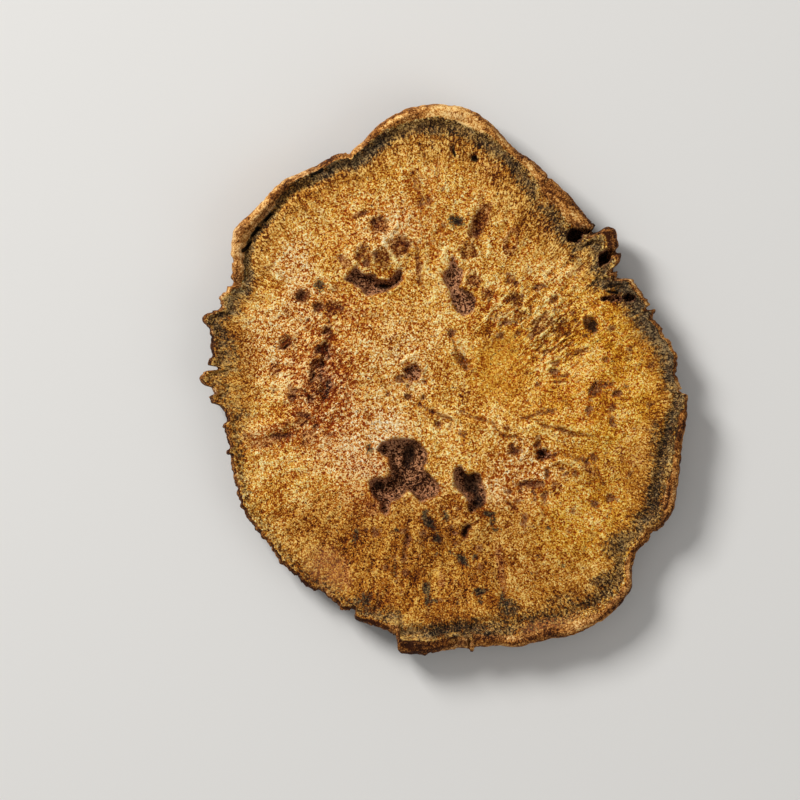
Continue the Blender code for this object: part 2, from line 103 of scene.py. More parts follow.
# Pits left where soft tissue shrank away: depth, how brown, then lobes as (x, y, half length, half width,
# tilt).
PITS = {
    "round_middle": (0.4, 0.62, [(-3.8, 0.8, 1.05, 0.9, 40)]),
    "wedge_middle": (0.3, 0.3, [(2.2, 2.6, 1.5, 0.75, -58)]),
    "long_upper": (0.4, 0.2, [(4.0, 18.4, 2.0, 0.85, 62)]),
    "left_upper": (0.3, 0.2, [(-7.5, 18.0, 1.1, 0.95, 20)]),
    "left_long": (0.55, 0.4, [(-13.7, -0.7, 1.8, 0.75, 82), (-14.5, 1.0, 1.3, 1.0, 90),
                              (-13.6, 3.3, 1.3, 0.7, 95)]),
    "lower_right": (0.5, 0.6, [(11.5, -8.6, 0.8, 0.6, -15)]),
    "bark_hole": (2.6, 1.2, [(15.0, 16.8, 0.8, 0.75, 0), (16.2, 17.2, 0.8, 0.4, 5)]),
    "scrap_hole": (2.0, 1.2, [(18.6, 14.2, 1.05, 0.65, 45)]),
    "split": (1.0, 1.1, [(19.3, 9.4, 1.1, 0.35, 0), (21.4, 9.5, 0.7, 0.45, 0)]),
    "lip_cave": (0.9, 1.1, [(1.0, -30.25, 0.75, 0.3, 0), (2.8, -30.3, 0.25, 0.35, 0)]),
}
PIT_BRIM = 1.15
PIT_WALL = 0.32
# The four largest pits, where the tissue tore: depth, how light, then the corners of the torn edge.
TORN_PITS = {
    "three_lobed": (1.7, -0.02, [
        (-7.8, -8.2), (-7.4, -7.5), (-6.7, -7.1), (-5.7, -6.9), (-4.5, -6.9), (-3.6, -7.0), (-3.0, -7.4),
        (-2.5, -7.9), (-2.1, -8.4), (-2.1, -9.3), (-2.5, -10.0), (-2.6, -10.5), (-1.9, -10.9),
        (-1.4, -11.5), (-0.8, -12.1), (-0.7, -12.8), (-1.1, -13.5), (-1.9, -13.7), (-2.8, -14.1),
        (-3.3, -13.6), (-3.8, -13.0), (-4.4, -12.7), (-4.8, -13.2), (-5.3, -13.8), (-6.1, -13.9),
        (-6.5, -14.5), (-6.5, -15.3), (-6.9, -15.7), (-7.4, -15.1), (-7.4, -14.2), (-8.1, -13.6),
        (-8.6, -12.9), (-8.7, -11.8),
        (-8.0, -11.5), (-7.1, -11.5), (-6.4, -11.2), (-6.1, -10.6), (-6.4, -9.8), (-6.5, -9.1),
        (-7.1, -8.7)]),
    "leaning": (1.9, -0.06, [
        (1.1, -10.8), (1.3, -10.2), (1.8, -10.0), (2.1, -10.5), (2.4, -11.0), (2.8, -11.3), (3.3, -10.9),
        (3.9, -11.0), (4.2, -11.6), (4.3, -12.3), (4.6, -13.0), (4.7, -13.6), (4.6, -14.3), (4.0, -14.8),
        (3.5, -15.1), (3.0, -15.4), (2.8, -14.9), (2.8, -14.3),
        (2.6, -13.8), (2.1, -13.2), (1.5, -12.7), (1.2, -12.1), (1.1, -11.4)]),
    "crescent": (1.6, 0.1, [
        (-11.5, 11.7), (-10.9, 12.5), (-10.3, 13.2), (-10.0, 12.8), (-9.6, 12.3), (-8.9, 12.2),
        (-8.4, 12.3), (-8.0, 12.1), (-8.0, 11.7), (-7.2, 11.5), (-6.5, 11.6), (-6.0, 12.0), (-5.5, 12.6),
        (-5.2, 12.8), (-5.0, 12.3), (-5.0, 11.6), (-5.5, 11.1),
        (-6.2, 10.7), (-7.1, 10.3), (-7.9, 10.1), (-8.6, 9.9), (-8.9, 9.8), (-9.4, 10.1), (-9.7, 10.6),
        (-10.4, 11.0), (-11.0, 11.4)]),
    "hourglass": (1.0, 0.04, [
        (1.0, 14.3), (1.2, 13.7), (1.4, 13.1), (2.0, 12.8), (2.1, 12.4), (1.8, 12.0), (1.7, 11.4),
        (1.5, 10.8), (1.9, 10.6), (2.6, 10.3), (3.0, 10.0), (3.5, 9.6), (3.5, 8.9), (3.3, 8.2), (2.8, 7.7),
        (2.2, 7.5), (1.5, 7.9), (1.1, 8.5), (0.8, 9.3), (0.7, 10.1),
        (0.4, 10.8), (-0.1, 11.4), (-0.2, 12.0), (0.0, 12.5), (0.5, 12.8), (0.7, 13.4), (0.7, 14.1)]),
}
# Raised ridges where firmer tissue shrank less, made paler by the painted light that follows the small relief:
# half width, height, then the points they run through.
RIDGES = [
    (0.22, 0.24, [(-7.4, 16.7), (-6.9, 15.9), (-6.2, 14.6), (-5.4, 13.2), (-5.2, 12.8)]),
    (0.21, 0.22, [(-10.7, 13.6), (-10.1, 12.8), (-9.4, 12.4), (-8.3, 12.4), (-7.6, 11.8), (-6.6, 11.8)]),
    (0.17, 0.18, [(-6.8, 16.3), (-6.1, 17.3), (-5.5, 18)]),
    (0.15, 0.18, [(-4.6, 17.9), (-4.3, 18.7), (-4, 19.5)]),
    (0.17, 0.2, [(-8.4, 15.6), (-8.4, 14.2), (-8.7, 12.8)]),
    (0.16, 0.18, [(-5, 11.4), (-5.5, 10.7), (-6.5, 10.1)]),
    (0.16, 0.18, [(2.4, 16.7), (3, 16.4), (3.7, 15.6), (4.3, 14.5)]),
    (0.14, 0.16, [(2, 17.1), (2.7, 17.2)]), (0.19, 0.2, [(4.9, 16.5), (5, 14.4)]),
    (0.19, 0.18, [(5.4, 18.7), (6, 17.8)]), (0.15, 0.18, [(-15.4, 9.3), (-15.5, 8.5), (-15.3, 7.8)]),
    (0.15, 0.16, [(-13.1, 5.5), (-12.5, 5.9)]), (0.15, 0.18, [(-13.7, 0.1), (-13.1, 0), (-12.9, -1.2)]),
    (0.17, 0.18, [(-15.2, 4.4), (-14.6, 4.8), (-14, 4.5)]),
    (0.17, 0.2, [(9.3, -5.5), (10.3, -5.1), (11.2, -5.6), (12.3, -5.9)]),
    (0.21, 0.22, [(14.2, -5.6), (15.2, -5.9), (16.4, -5.9)]),
    (0.17, 0.2, [(11.8, -10.2), (12.7, -9.6), (13.6, -9.3), (14.7, -9.6)]),
    (0.14, 0.2, [(17.8, -9.8), (18.3, -10.7), (18.6, -11.8)]),
    (0.14, 0.16, [(9.8, 4.1), (10.8, 5.1), (12, 5.8), (12.7, 6.4)]),
    (0.14, 0.16, [(11.2, 3.7), (12.2, 4.5), (13, 5)]),
    (0.16, 0.18, [(12.7, 3.8), (13.9, 4.9), (14.9, 5.2)]),
    (0.16, 0.18, [(15.2, 4.6), (16.2, 4.4), (17, 3.8)]),
    (0.15, 0.16, [(11.8, 2.1), (12.7, 2.4), (13.7, 2.7)]), (0.14, 0.16, [(11.8, 1.4), (12.7, 1.7)]),
    (0.16, 0.18, [(1, -10.9), (1.3, -12), (2, -13), (2.6, -13.9)]),
    (0.16, 0.2, [(4.8, -10.9), (5, -12.1), (5.1, -13.2), (5, -14.2)]),
    (0.15, 0.18, [(2.7, -13.5), (3, -14.3), (3.2, -15.2)]),
    (0.16, 0.16, [(2.6, -19.5), (3.3, -18.6), (3.5, -17.2)]),
    (0.15, 0.16, [(1.4, -16.7), (2.1, -16.4), (2.8, -16.1)]),
    (0.16, 0.16, [(-5.1, -13.2), (-4.6, -13.6), (-4.2, -13.1), (-3.6, -13.7)]),
    (0.14, 0.16, [(-2.8, -18.6), (-2.2, -19.2), (-1.5, -18.8)]),
    (0.14, 0.14, [(5.7, 8.7), (5, 7.8), (4.6, 6.5)]), (0.14, 0.14, [(7, 8.2), (6.3, 7.2), (6, 6)]),
    (0.16, 0.18, [(8.4, 7.8), (9.1, 8.1), (9.8, 8)]), (0.16, 0.16, [(2.1, 13.7), (1.8, 12.5)]),
    (0.15, 0.16, [(5.3, 5), (6.2, 5.5), (7.3, 5.8)]), (0.15, 0.16, [(19.3, -12.3), (20.1, -12.5)]),
    (0.15, 0.14, [(20.2, -2.9), (21.1, -3.6), (22, -3.8)]),
    (0.15, 0.14, [(6.2, -13.9), (7, -14.9), (7.8, -15.4)]),
    (0.17, 0.16, [(-1.7, 17.4), (-0.8, 18), (0.3, 18.4)]),
    (0.15, 0.16, [(-2.6, 12.5), (-2.3, 13.7), (-1.9, 15.1)]),
    (0.14, 0.14, [(-0.4, 13.7), (0, 14.9), (0.6, 15.8)]),
    (0.15, 0.14, [(-18.9, 4.9), (-18.2, 5.2), (-17.5, 4.9)]), (0.14, 0.14, [(-11.8, -0.9), (-11.4, -0.5)]),
    (0.15, 0.15, [(-15.7, 7.9), (-15.1, 7.2), (-14.4, 7.1)]),
    (0.15, 0.15, [(-13.4, 9.3), (-12.6, 9.4), (-11.9, 9.1)]),
    (0.13, 0.18, [(-1.2, -3.4), (-0.3, -3.8), (0.8, -4.4)]),
    (0.16, 0.18, [(-5.3, 1.9), (-4.5, 2.4), (-3.7, 2.9)]),
    (0.14, 0.16, [(-2.6, 2.6), (-2.3, 1.7), (-2.6, 0.9)]), (0.14, 0.16, [(1.4, 3.6), (2.1, 3), (2.9, 2.6)]),
    (0.22, 0.3, [(-5.1, -30.0), (-3.6, -30.3), (-2.2, -30.1), (-0.8, -30.2), (0.3, -29.6), (1.2, -29.4),
                 (1.9, -30.0), (3.1, -30)]),
]
# Brown furrows where strands of soft tissue shrank: half width, how brown, then the points.
FURROWS = [
    (0.19, 0.8, [(8.9, -4.4), (10, -4.3), (10.9, -3.9), (11.8, -3.8), (12.7, -3.5)]),
    (0.17, 0.9, [(11.2, -5.2), (12.1, -5.5), (13.2, -5.7), (14, -6)]),
    (0.23, 1, [(13.2, -5.7), (14, -6), (14.8, -6.3)]),
    (0.14, 0.8, [(14.8, -6.3), (15.8, -6.3), (17.2, -6.5)]),
    (0.19, 0.9, [(14, -8.6), (14.7, -8.9), (15.4, -9.2), (16.2, -9.2)]),
    (0.12, 0.9, [(17.2, -9.5), (17.7, -10.2), (18.1, -11.2), (18.4, -12.1)]),
    (0.12, 0.9, [(17.3, -8.5), (17, -9.1)]),
    (0.14, 0.9, [(9.6, 4.9), (10.4, 5.8), (11.2, 7.2), (11.8, 7.9)]),
    (0.12, 0.8, [(10.4, 5.1), (11.3, 5.8), (12.6, 6.7)]),
    (0.12, 0.8, [(12.5, 7.2), (12.6, 5.6), (13.2, 5.1), (14.2, 5.3)]),
    (0.14, 0.9, [(10.7, 3.3), (11.8, 4.4)]), (0.13, 0.9, [(11.3, 2.3), (11.9, 3.5)]),
    (0.14, 0.85, [(12.2, 3.3), (13.5, 4.4)]), (0.15, 0.95, [(13.5, 3.5), (14.8, 4.4)]),
    (0.19, 0.8, [(14.2, 2.8), (15.2, 3.3), (16.5, 3.5)]), (0.12, 0.8, [(12.5, 2.6), (13.4, 2.7)]),
    (0.12, 0.8, [(12.6, 1.7), (13.3, 2.2)]), (0.14, 0.9, [(12.5, 0.3), (14.4, 0.6)]),
    (0.13, 0.85, [(12.7, -0.2), (14.1, -0.1)]), (0.12, 0.8, [(14.9, 1.4), (15.8, 2.3)]),
    (0.1, 0.8, [(15.2, -0.3), (16.1, 0.1)]), (0.12, 0.9, [(8.7, -12.7), (8.9, -13.9)]),
    (0.15, 1, [(7.1, -14.1), (7.7, -14.5), (8.2, -14.9)]), (0.14, 0.8, [(11.3, -14.5), (11.4, -16.3)]),
    (0.12, 0.8, [(1.9, 15.9), (2.6, 15.9), (3.3, 15.4), (3.7, 14.5)]),
    (0.12, 0.85, [(1.9, 15.2), (2.5, 14.1)]), (0.09, 0.7, [(5, 6.4), (5.4, 7.4), (6.2, 8.6)]),
    (0.09, 0.7, [(5.5, 6.3), (5.8, 7.3), (6.6, 8.5)]),
    (0.16, 0.7, [(-3.2, 15.7), (-3.1, 13.7), (-3, 11.2)]), (0.14, 0.6, [(-2.6, 14.2), (-2.6, 10.5)]),
    (0.12, 0.6, [(-0.3, 17.7), (-1.1, 16.8), (-1.8, 15.6)]),
    (0.12, 0.6, [(0.3, 17.2), (-0.6, 16.3), (-0.8, 14.4)]), (0.12, 0.9, [(4.6, 9.3), (4.9, 10.1)]),
    (0.12, 0.9, [(5.1, 9.1), (5.7, 10.2)]), (0.12, 0.8, [(4.2, 9.8), (4.4, 10.6)]),
    (0.13, 0.9, [(-7.6, -24.6), (-8.1, -26.8)]), (0.17, 0.6, [(-5.9, -20.4), (-5.5, -23.5)]),
    (0.19, 0.7, [(-4.2, -16.3), (-4.8, -20.2)]), (0.12, 0.7, [(9.9, 8.6), (10, 7.7), (9.3, 7.1)]),
    (0.13, 0.8, [(-14.1, 4.3), (-13.7, 3.6), (-13.4, 2.8)]),
    (0.14, 0.8, [(-18, -1.3), (-17.2, -1), (-16.2, -1.3)]),
    (0.12, 0.7, [(-19.5, 4.9), (-18.6, 5.2), (-17.6, 5)]), (0.12, 0.7, [(-19, 4.2), (-17.9, 4.5)]),
    (0.14, 0.8, [(-17.2, -5), (-16.7, -4.5), (-16, -4.8)]),
    (0.12, 0.6, [(13.7, -2.3), (14.4, -3), (14.9, -3.7)]), (0.12, 0.8, [(-11.4, -1.7), (-11.2, -2.8)]),
    (0.13, 0.7, [(15.8, -4.6), (17, -4.6)]), (0.1, 0.7, [(19.4, -2.7), (20.2, -2.8), (20.9, -3.3)]),
    (0.12, 0.7, [(10.7, -3.6), (11.5, -3.4)]), (0.15, 0.5, [(6.5, -19.5), (7.2, -25.6)]),
    (0.12, 0.7, [(1.8, 11), (2, 12.8)]), (0.09, 0.7, [(11.2, 12.8), (12, 12.2), (12.7, 12.3)]),
    (0.12, 0.8, [(-4.8, -13.6), (-4.6, -14.5)]), (0.1, 0.7, [(8, -14.8), (8.5, -15.3)]),
    (0.12, 0.6, [(20.5, -2.3), (21.4, -2.2)]), (0.12, 0.7, [(-9.7, 15.8), (-9, 15.6)]),
    (0.12, 0.6, [(2.6, 21.5), (3.3, 21)]), (0.12, 0.55, [(1, 29.3), (1.1, 26.7)]),
    (0.12, 0.55, [(-1.5, 29.6), (-1.2, 26.7)]), (0.14, 0.5, [(3, 27.9), (3.5, 25.8)]),
    (0.13, 0.55, [(-2.8, 27.9), (-2.3, 25)]), (0.14, 0.55, [(-0.9, 26.1), (-0.8, 22.6)]),
    (0.17, 0.7, [(0.7, 5.5), (1, 4.3), (1.5, 3.3), (2.2, 2.3)]),
    (0.13, 0.9, [(-1.4, -3.6), (-0.4, -4.2), (0.7, -4.6)]),
    (0.13, 0.8, [(0.7, -4.8), (0.6, -5.5), (0.3, -5.7)]),
    (0.15, 0.7, [(2.8, -4.2), (4, -4.5), (5.4, -4.9)]), (0.16, 0.85, [(5.4, -4.9), (6, -5.8), (7, -6.5)]),
    (0.13, 1, [(6.5, -6.4), (7.3, -6.6), (8.3, -6.5), (8.9, -7)]),
    (0.14, 0.7, [(-2.9, -2.7), (-2.2, -3.3), (-1.6, -3.7)]),
    (0.13, 0.6, [(-3.7, 24.2), (-3.5, 22.3), (-2.6, 21.1)]),
]
# Small dark spots, each a shallow dent: x, y, half length, half width, tilt, depth and how dark.
DENTS = [
    (0.7, 5.5, 0.46, 0.41, 70, 0.2, 0.85), (-12.1, 14.2, 0.29, 0.29, 0, 0.25, 0.9),
    (-10.2, 15.4, 0.23, 0.17, 40, 0.15, 0.8), (-10.1, 14.6, 0.35, 0.17, -60, 0.15, 0.85),
    (-9.1, 13.7, 0.46, 0.29, 60, 0.2, 0.9), (3, 12.7, 0.21, 0.17, 0, 0.15, 0.9),
    (7.3, 11.8, 0.58, 0.23, 85, 0.2, 0.7), (8.2, 11.2, 0.46, 0.35, 0, 0.2, 0.7),
    (10.9, 10.7, 0.58, 0.35, 20, 0.3, 0.85), (11.5, 10.8, 0.23, 0.17, 0, 0.1, 0.9),
    (8, 9.6, 0.35, 0.17, 30, 0.2, 0.9), (7.2, 9.2, 0.17, 0.35, 0, 0.15, 0.8),
    (9, 9.9, 0.29, 0.23, 0, 0.15, 0.8), (6.6, 7.8, 0.14, 0.26, -30, 0.2, 1),
    (7.5, 6.6, 1.05, 0.23, 20, 0.2, 0.8), (17, 6.4, 0.93, 0.58, -68, 0.6, 0.95),
    (16.5, 5, 0.46, 0.23, -10, 0.2, 0.7), (12.7, 9.4, 0.52, 0.41, 60, 0.2, 0.55),
    (15.2, 6.7, 0.58, 0.23, -20, 0.2, 0.65), (14.3, 5.3, 0.23, 0.23, 0, 0.2, 0.85),
    (10.1, 5, 0.41, 0.23, 35, 0.25, 0.9), (11.6, 3.1, 0.23, 0.35, 0, 0.2, 0.95),
    (12.6, 1, 0.64, 0.29, 5, 0.3, 0.9), (15.6, 1, 0.23, 0.15, 0, 0.15, 0.9),
    (16.3, 1.7, 0.17, 0.17, 0, 0.15, 0.9), (18.7, 2.3, 0.46, 0.29, -10, 0.2, 0.6),
    (17.5, -1.2, 0.81, 0.52, 20, 0.35, 0.85), (17.5, -0.5, 0.23, 0.35, 0, 0.2, 0.9),
    (18.5, -0.7, 0.46, 0.35, -20, 0.2, 0.7), (20.1, -1.6, 0.52, 0.29, 0, 0.25, 0.8),
    (21.5, -1.4, 0.23, 0.21, 0, 0.15, 0.6), (16.9, -3.5, 0.52, 0.46, 30, 0.25, 0.8),
    (19.5, -5.1, 0.41, 0.29, 20, 0.25, 0.85), (7.9, -7.8, 0.23, 0.58, 0, 0.3, 0.9),
    (8.3, -8.4, 0.7, 0.46, 10, 0.25, 0.7), (10.8, -7.5, 0.52, 0.46, 40, 0.3, 0.75),
    (11.3, -8.9, 0.52, 0.46, 0, 0.5, 0.95), (12.5, -8.8, 0.46, 0.35, 0, 0.3, 0.75),
    (11.9, -10.9, 0.33, 0.64, 0, 0.3, 0.7), (9.9, -12.1, 1.51, 0.41, 0, 0.35, 0.72),
    (11.3, -12.1, 0.35, 0.23, 0, 0.15, 0.9), (10.3, -13.1, 0.35, 0.15, -55, 0.2, 1),
    (16.5, -9.4, 0.46, 0.3, 0, 0.35, 1), (13.5, -10.3, 0.23, 0.23, 0, 0.2, 0.9),
    (14.2, -10.9, 0.35, 0.23, 0, 0.15, 0.8), (7.5, -13, 0.35, 0.29, 0, 0.25, 0.75),
    (11.6, -13.7, 0.26, 0.7, 0, 0.25, 0.8), (9.2, -16.3, 0.23, 0.93, 0, 0.25, 0.8),
    (19.3, -13.8, 0.64, 0.52, 10, 0.25, 0.75), (17.5, -14.4, 0.46, 0.58, 0, 0.2, 0.6),
    (2.5, -17.5, 0.93, 0.33, 68, 0.6, 0.95), (1.2, -17.8, 0.35, 0.23, 20, 0.3, 0.9),
    (0.6, -17.2, 0.17, 0.23, 0, 0.2, 0.8), (-14.7, 8.4, 0.58, 0.41, 0, 0.3, 0.75),
    (-12.1, 8.5, 0.23, 0.29, 0, 0.25, 0.95), (-13.6, 5.7, 0.58, 0.46, 30, 0.35, 0.75),
    (-14.7, 3.6, 0.46, 0.35, 50, 0.35, 0.85), (-16.6, 9.8, 0.58, 0.46, 60, 0.45, 0.95),
    (-18.7, 3.8, 0.7, 0.29, 20, 0.3, 0.85), (-17.5, -1.3, 0.46, 0.23, 10, 0.3, 0.85),
    (-17.7, -2.1, 0.35, 0.29, 0, 0.25, 0.85), (-15.7, -2.2, 0.29, 0.41, 0, 0.4, 1),
    (-15, -5.3, 0.41, 0.21, 30, 0.25, 0.85), (-18.4, -6.5, 0.58, 0.29, 0, 0.25, 0.8),
    (-19.6, -6.6, 0.7, 0.35, 0, 0.25, 0.75), (-16.3, -4.1, 0.81, 0.29, -10, 0.25, 0.7),
    (-15.8, 6.9, 0.23, 0.23, 0, 0.2, 0.8), (-4.4, 15.9, 0.29, 0.41, 0, 0.2, 0.7),
    (-8.1, 14.6, 0.35, 0.46, 0, 0.2, 0.75), (-8.2, 18.2, 0.29, 0.58, 0, 0.25, 0.75),
    (-7.4, 18.9, 0.35, 0.23, 0, 0.2, 0.75), (-9.4, 19.3, 0.7, 0.26, 25, 0.25, 0.6),
    (-2.3, 20.6, 0.93, 0.46, 10, 0.2, 0.5), (3.6, 17.1, 0.7, 0.46, 0, 0.25, 0.62),
    (-14.4, 0.2, 0.23, 0.58, 0, 0.5, 0.9), (-14.3, 1.7, 0.29, 0.58, 10, 0.4, 0.7),
    (-15.3, 0.2, 0.29, 0.7, -15, 0.35, 0.65), (-7.9, -17.7, 0.46, 0.46, 0, 0.3, 0.7),
    (-4.3, -18.6, 0.33, 0.81, -10, 0.3, 0.7), (-5.2, 0.1, 0.41, 0.35, 0, 0.3, 0.85),
    (-4.3, -0.7, 0.23, 0.23, 0, 0.15, 0.8), (-2.2, -0.2, 0.35, 0.23, 0, 0.2, 0.7),
    (2.2, 1.9, 0.87, 0.52, -45, 0.35, 0.6), (-4.2, -2, 0.52, 0.35, 0, 0.25, 0.85),
    (-2.5, -2, 0.35, 0.23, 0, 0.2, 0.75), (-2.9, -2.8, 0.35, 0.19, -40, 0.2, 0.8),
    (-6.7, -1.6, 0.26, 0.23, 0, 0.2, 0.8), (-1.6, -3.7, 0.41, 0.21, -20, 0.25, 1),
    (-0.9, -5.2, 0.46, 0.27, 10, 0.25, 0.8), (2.2, -6.3, 0.41, 0.26, 0, 0.25, 0.85),
    (2.1, -3.7, 0.35, 0.23, 0, 0.2, 0.7), (0.8, 27.9, 0.14, 0.46, 0, 0.3, 1),
    (0.8, 26.5, 0.14, 0.58, 0, 0.3, 1), (3.4, 25.8, 0.23, 0.26, 0, 0.3, 1),
]
# Oval vessels with a raised lip round them: x, y, half length, half width, tilt, relief and how red-brown.
RINGS = [
    (7.7, 16.1, 1.4, 0.72, 72, 0.2, 1), (1.0, -17.4, 0.7, 0.5, 0, 0.15, 0.7),
    (-16.6, 9.8, 0.75, 0.64, 60, 0.15, 0.9), (-13.0, 8.4, 0.95, 0.7, 0, 0.15, 0.8),
    (7.2, -17.0, 0.5, 0.5, 0, 0.12, 0.6), (-18.1, -5.8, 0.8, 0.7, 0, 0.15, 0.6),
    (-19.7, -1.3, 0.5, 0.4, 0, 0.12, 0.5), (4.0, 18.4, 2.0, 0.75, 62, 0.15, 0.8),
    (-3.8, 0.8, 1.25, 1.1, 0, 0.1, 0.5), (0.9, -25.9, 0.35, 0.5, 0, 0.1, 0.5),
]
# Star spots, where side shoots of the root's vessels were cut across: x, y, radii, tilt and strength.
STARS = [
    (-9.5, 14.4, 1.5, 1.05, 90, 0.9), (-7.3, 14.2, 1.4, 1.1, 90, 1), (-5.1, 15.6, 1.28, 1.28, 0, 0.9),
    (2.7, 14.9, 1.2, 1.05, 0, 0.9), (3.3, 11.6, 1.05, 0.95, 0, 0.8), (8.3, 9.3, 1.15, 1.05, 0, 0.9),
    (8.9, 7.5, 0.95, 0.75, 0, 0.7), (7.0, 7.2, 1.0, 0.7, 45, 0.6), (11.2, 6.4, 2.0, 1.0, 48, 0.8),
    (13.4, 6.4, 1.3, 0.9, 90, 0.6), (7.8, 11.6, 0.9, 0.9, 0, 0.5), (-14.1, 3.5, 1.05, 0.95, 90, 0.8),
    (-18.3, 4.3, 1.15, 1.0, 0, 0.8), (-13.6, 5.7, 0.75, 0.6, 0, 0.7), (-7.5, 17.9, 1.05, 1.0, 0, 0.7),
    (1.3, 18.5, 0.85, 0.75, 0, 0.6), (20.1, -1.6, 0.75, 0.5, 0, 0.5), (15.8, 3.1, 1.3, 0.55, 25, 0.6),
    (-2.5, -18.6, 0.95, 0.8, 0, 0.5), (16.8, -10.5, 1.2, 0.6, -38, 0.5), (-14.8, 8.5, 0.85, 0.75, 90, 0.6),
    (-17.2, -1.8, 0.9, 0.8, 0, 0.5), (12.7, 9.4, 0.7, 0.6, 0, 0.5),
]
# Charcoal flecks of tissue that dried dark: x, y, half length, half width, tilt and strength.
FLECKS = [
    (1.3, 18.5, 0.81, 0.7, 0, 0.9), (-14.5, 11, 0.7, 0.58, 60, 0.8), (-10.4, -18.1, 0.81, 0.35, 80, 0.6),
    (-5.5, -17.4, 0.41, 0.35, 0, 0.7), (-1.9, -16.5, 0.99, 0.46, -55, 0.95),
    (-2.3, -15.4, 0.35, 0.46, 0, 0.8), (-0.9, -18.4, 0.52, 0.41, -40, 1), (0, -15.8, 0.35, 0.58, 0, 0.75),
    (5.1, -15.6, 0.64, 0.29, -10, 0.95), (5.6, -16.7, 0.26, 0.58, 0, 0.9), (6, -17.5, 0.35, 0.29, 0, 0.8),
    (2, -20.9, 0.81, 0.37, -35, 1), (3.6, -20.7, 0.29, 0.35, 0, 0.8), (0.7, -20, 0.35, 0.21, -30, 0.8),
    (-1, -20.3, 0.29, 0.19, 0, 0.7), (-2.2, -24.3, 0.35, 0.7, 0, 1), (-1.9, -25.6, 0.37, 0.7, 0, 0.85),
    (-1, -25.6, 0.23, 0.26, 0, 0.8), (4, -24.6, 0.64, 0.41, 10, 1), (4.2, -25.8, 0.23, 0.41, 0, 1),
    (4.7, -24.4, 0.29, 0.29, 0, 0.9), (6.6, -25.3, 0.29, 0.7, 0, 0.85), (7.3, -25.9, 0.26, 0.58, 0, 0.85),
    (7.1, -27.4, 0.35, 0.7, 0, 0.6), (-9.3, -25.6, 0.7, 0.75, 0, 0.75),
    (-13.6, -0.7, 0.35, 0.99, -12, 0.95), (-13.8, -1.9, 0.41, 0.35, 0, 0.8),
    (-13.6, 2.6, 0.35, 0.46, 0, 0.7), (16.5, -9.4, 0.52, 0.35, 0, 0.7), (-8.8, -8, 0.41, 0.41, 0, 0.8),
    (11.2, 20, 0.41, 0.29, 0, 0.7), (12.7, 20.2, 0.29, 0.23, 0, 0.7), (1.5, -25.9, 0.23, 0.35, 0, 0.5),
    (2.6, -28.6, 0.29, 0.46, -20, 0.7), (-1.1, -29.4, 0.46, 0.35, 0, 0.7),
    (-7.9, -28.3, 0.35, 0.46, 0, 0.6), (12.1, -17.3, 0.26, 0.26, 0, 0.9), (10, -22.5, 0.35, 0.35, 0, 0.5),
    (13.7, -21.6, 0.58, 0.23, 50, 0.5), (16.5, -19.4, 0.58, 0.23, 40, 0.5),
    (-12.3, -24.4, 0.46, 0.23, 45, 0.4), (-6, -17.5, 0.35, 0.23, 0, 0.5), (-7.2, -20.9, 0.23, 0.23, 0, 0.4),
    (-8.6, -21.3, 0.23, 0.7, -10, 0.45), (-5.9, -22.3, 0.23, 0.93, 5, 0.4),
]
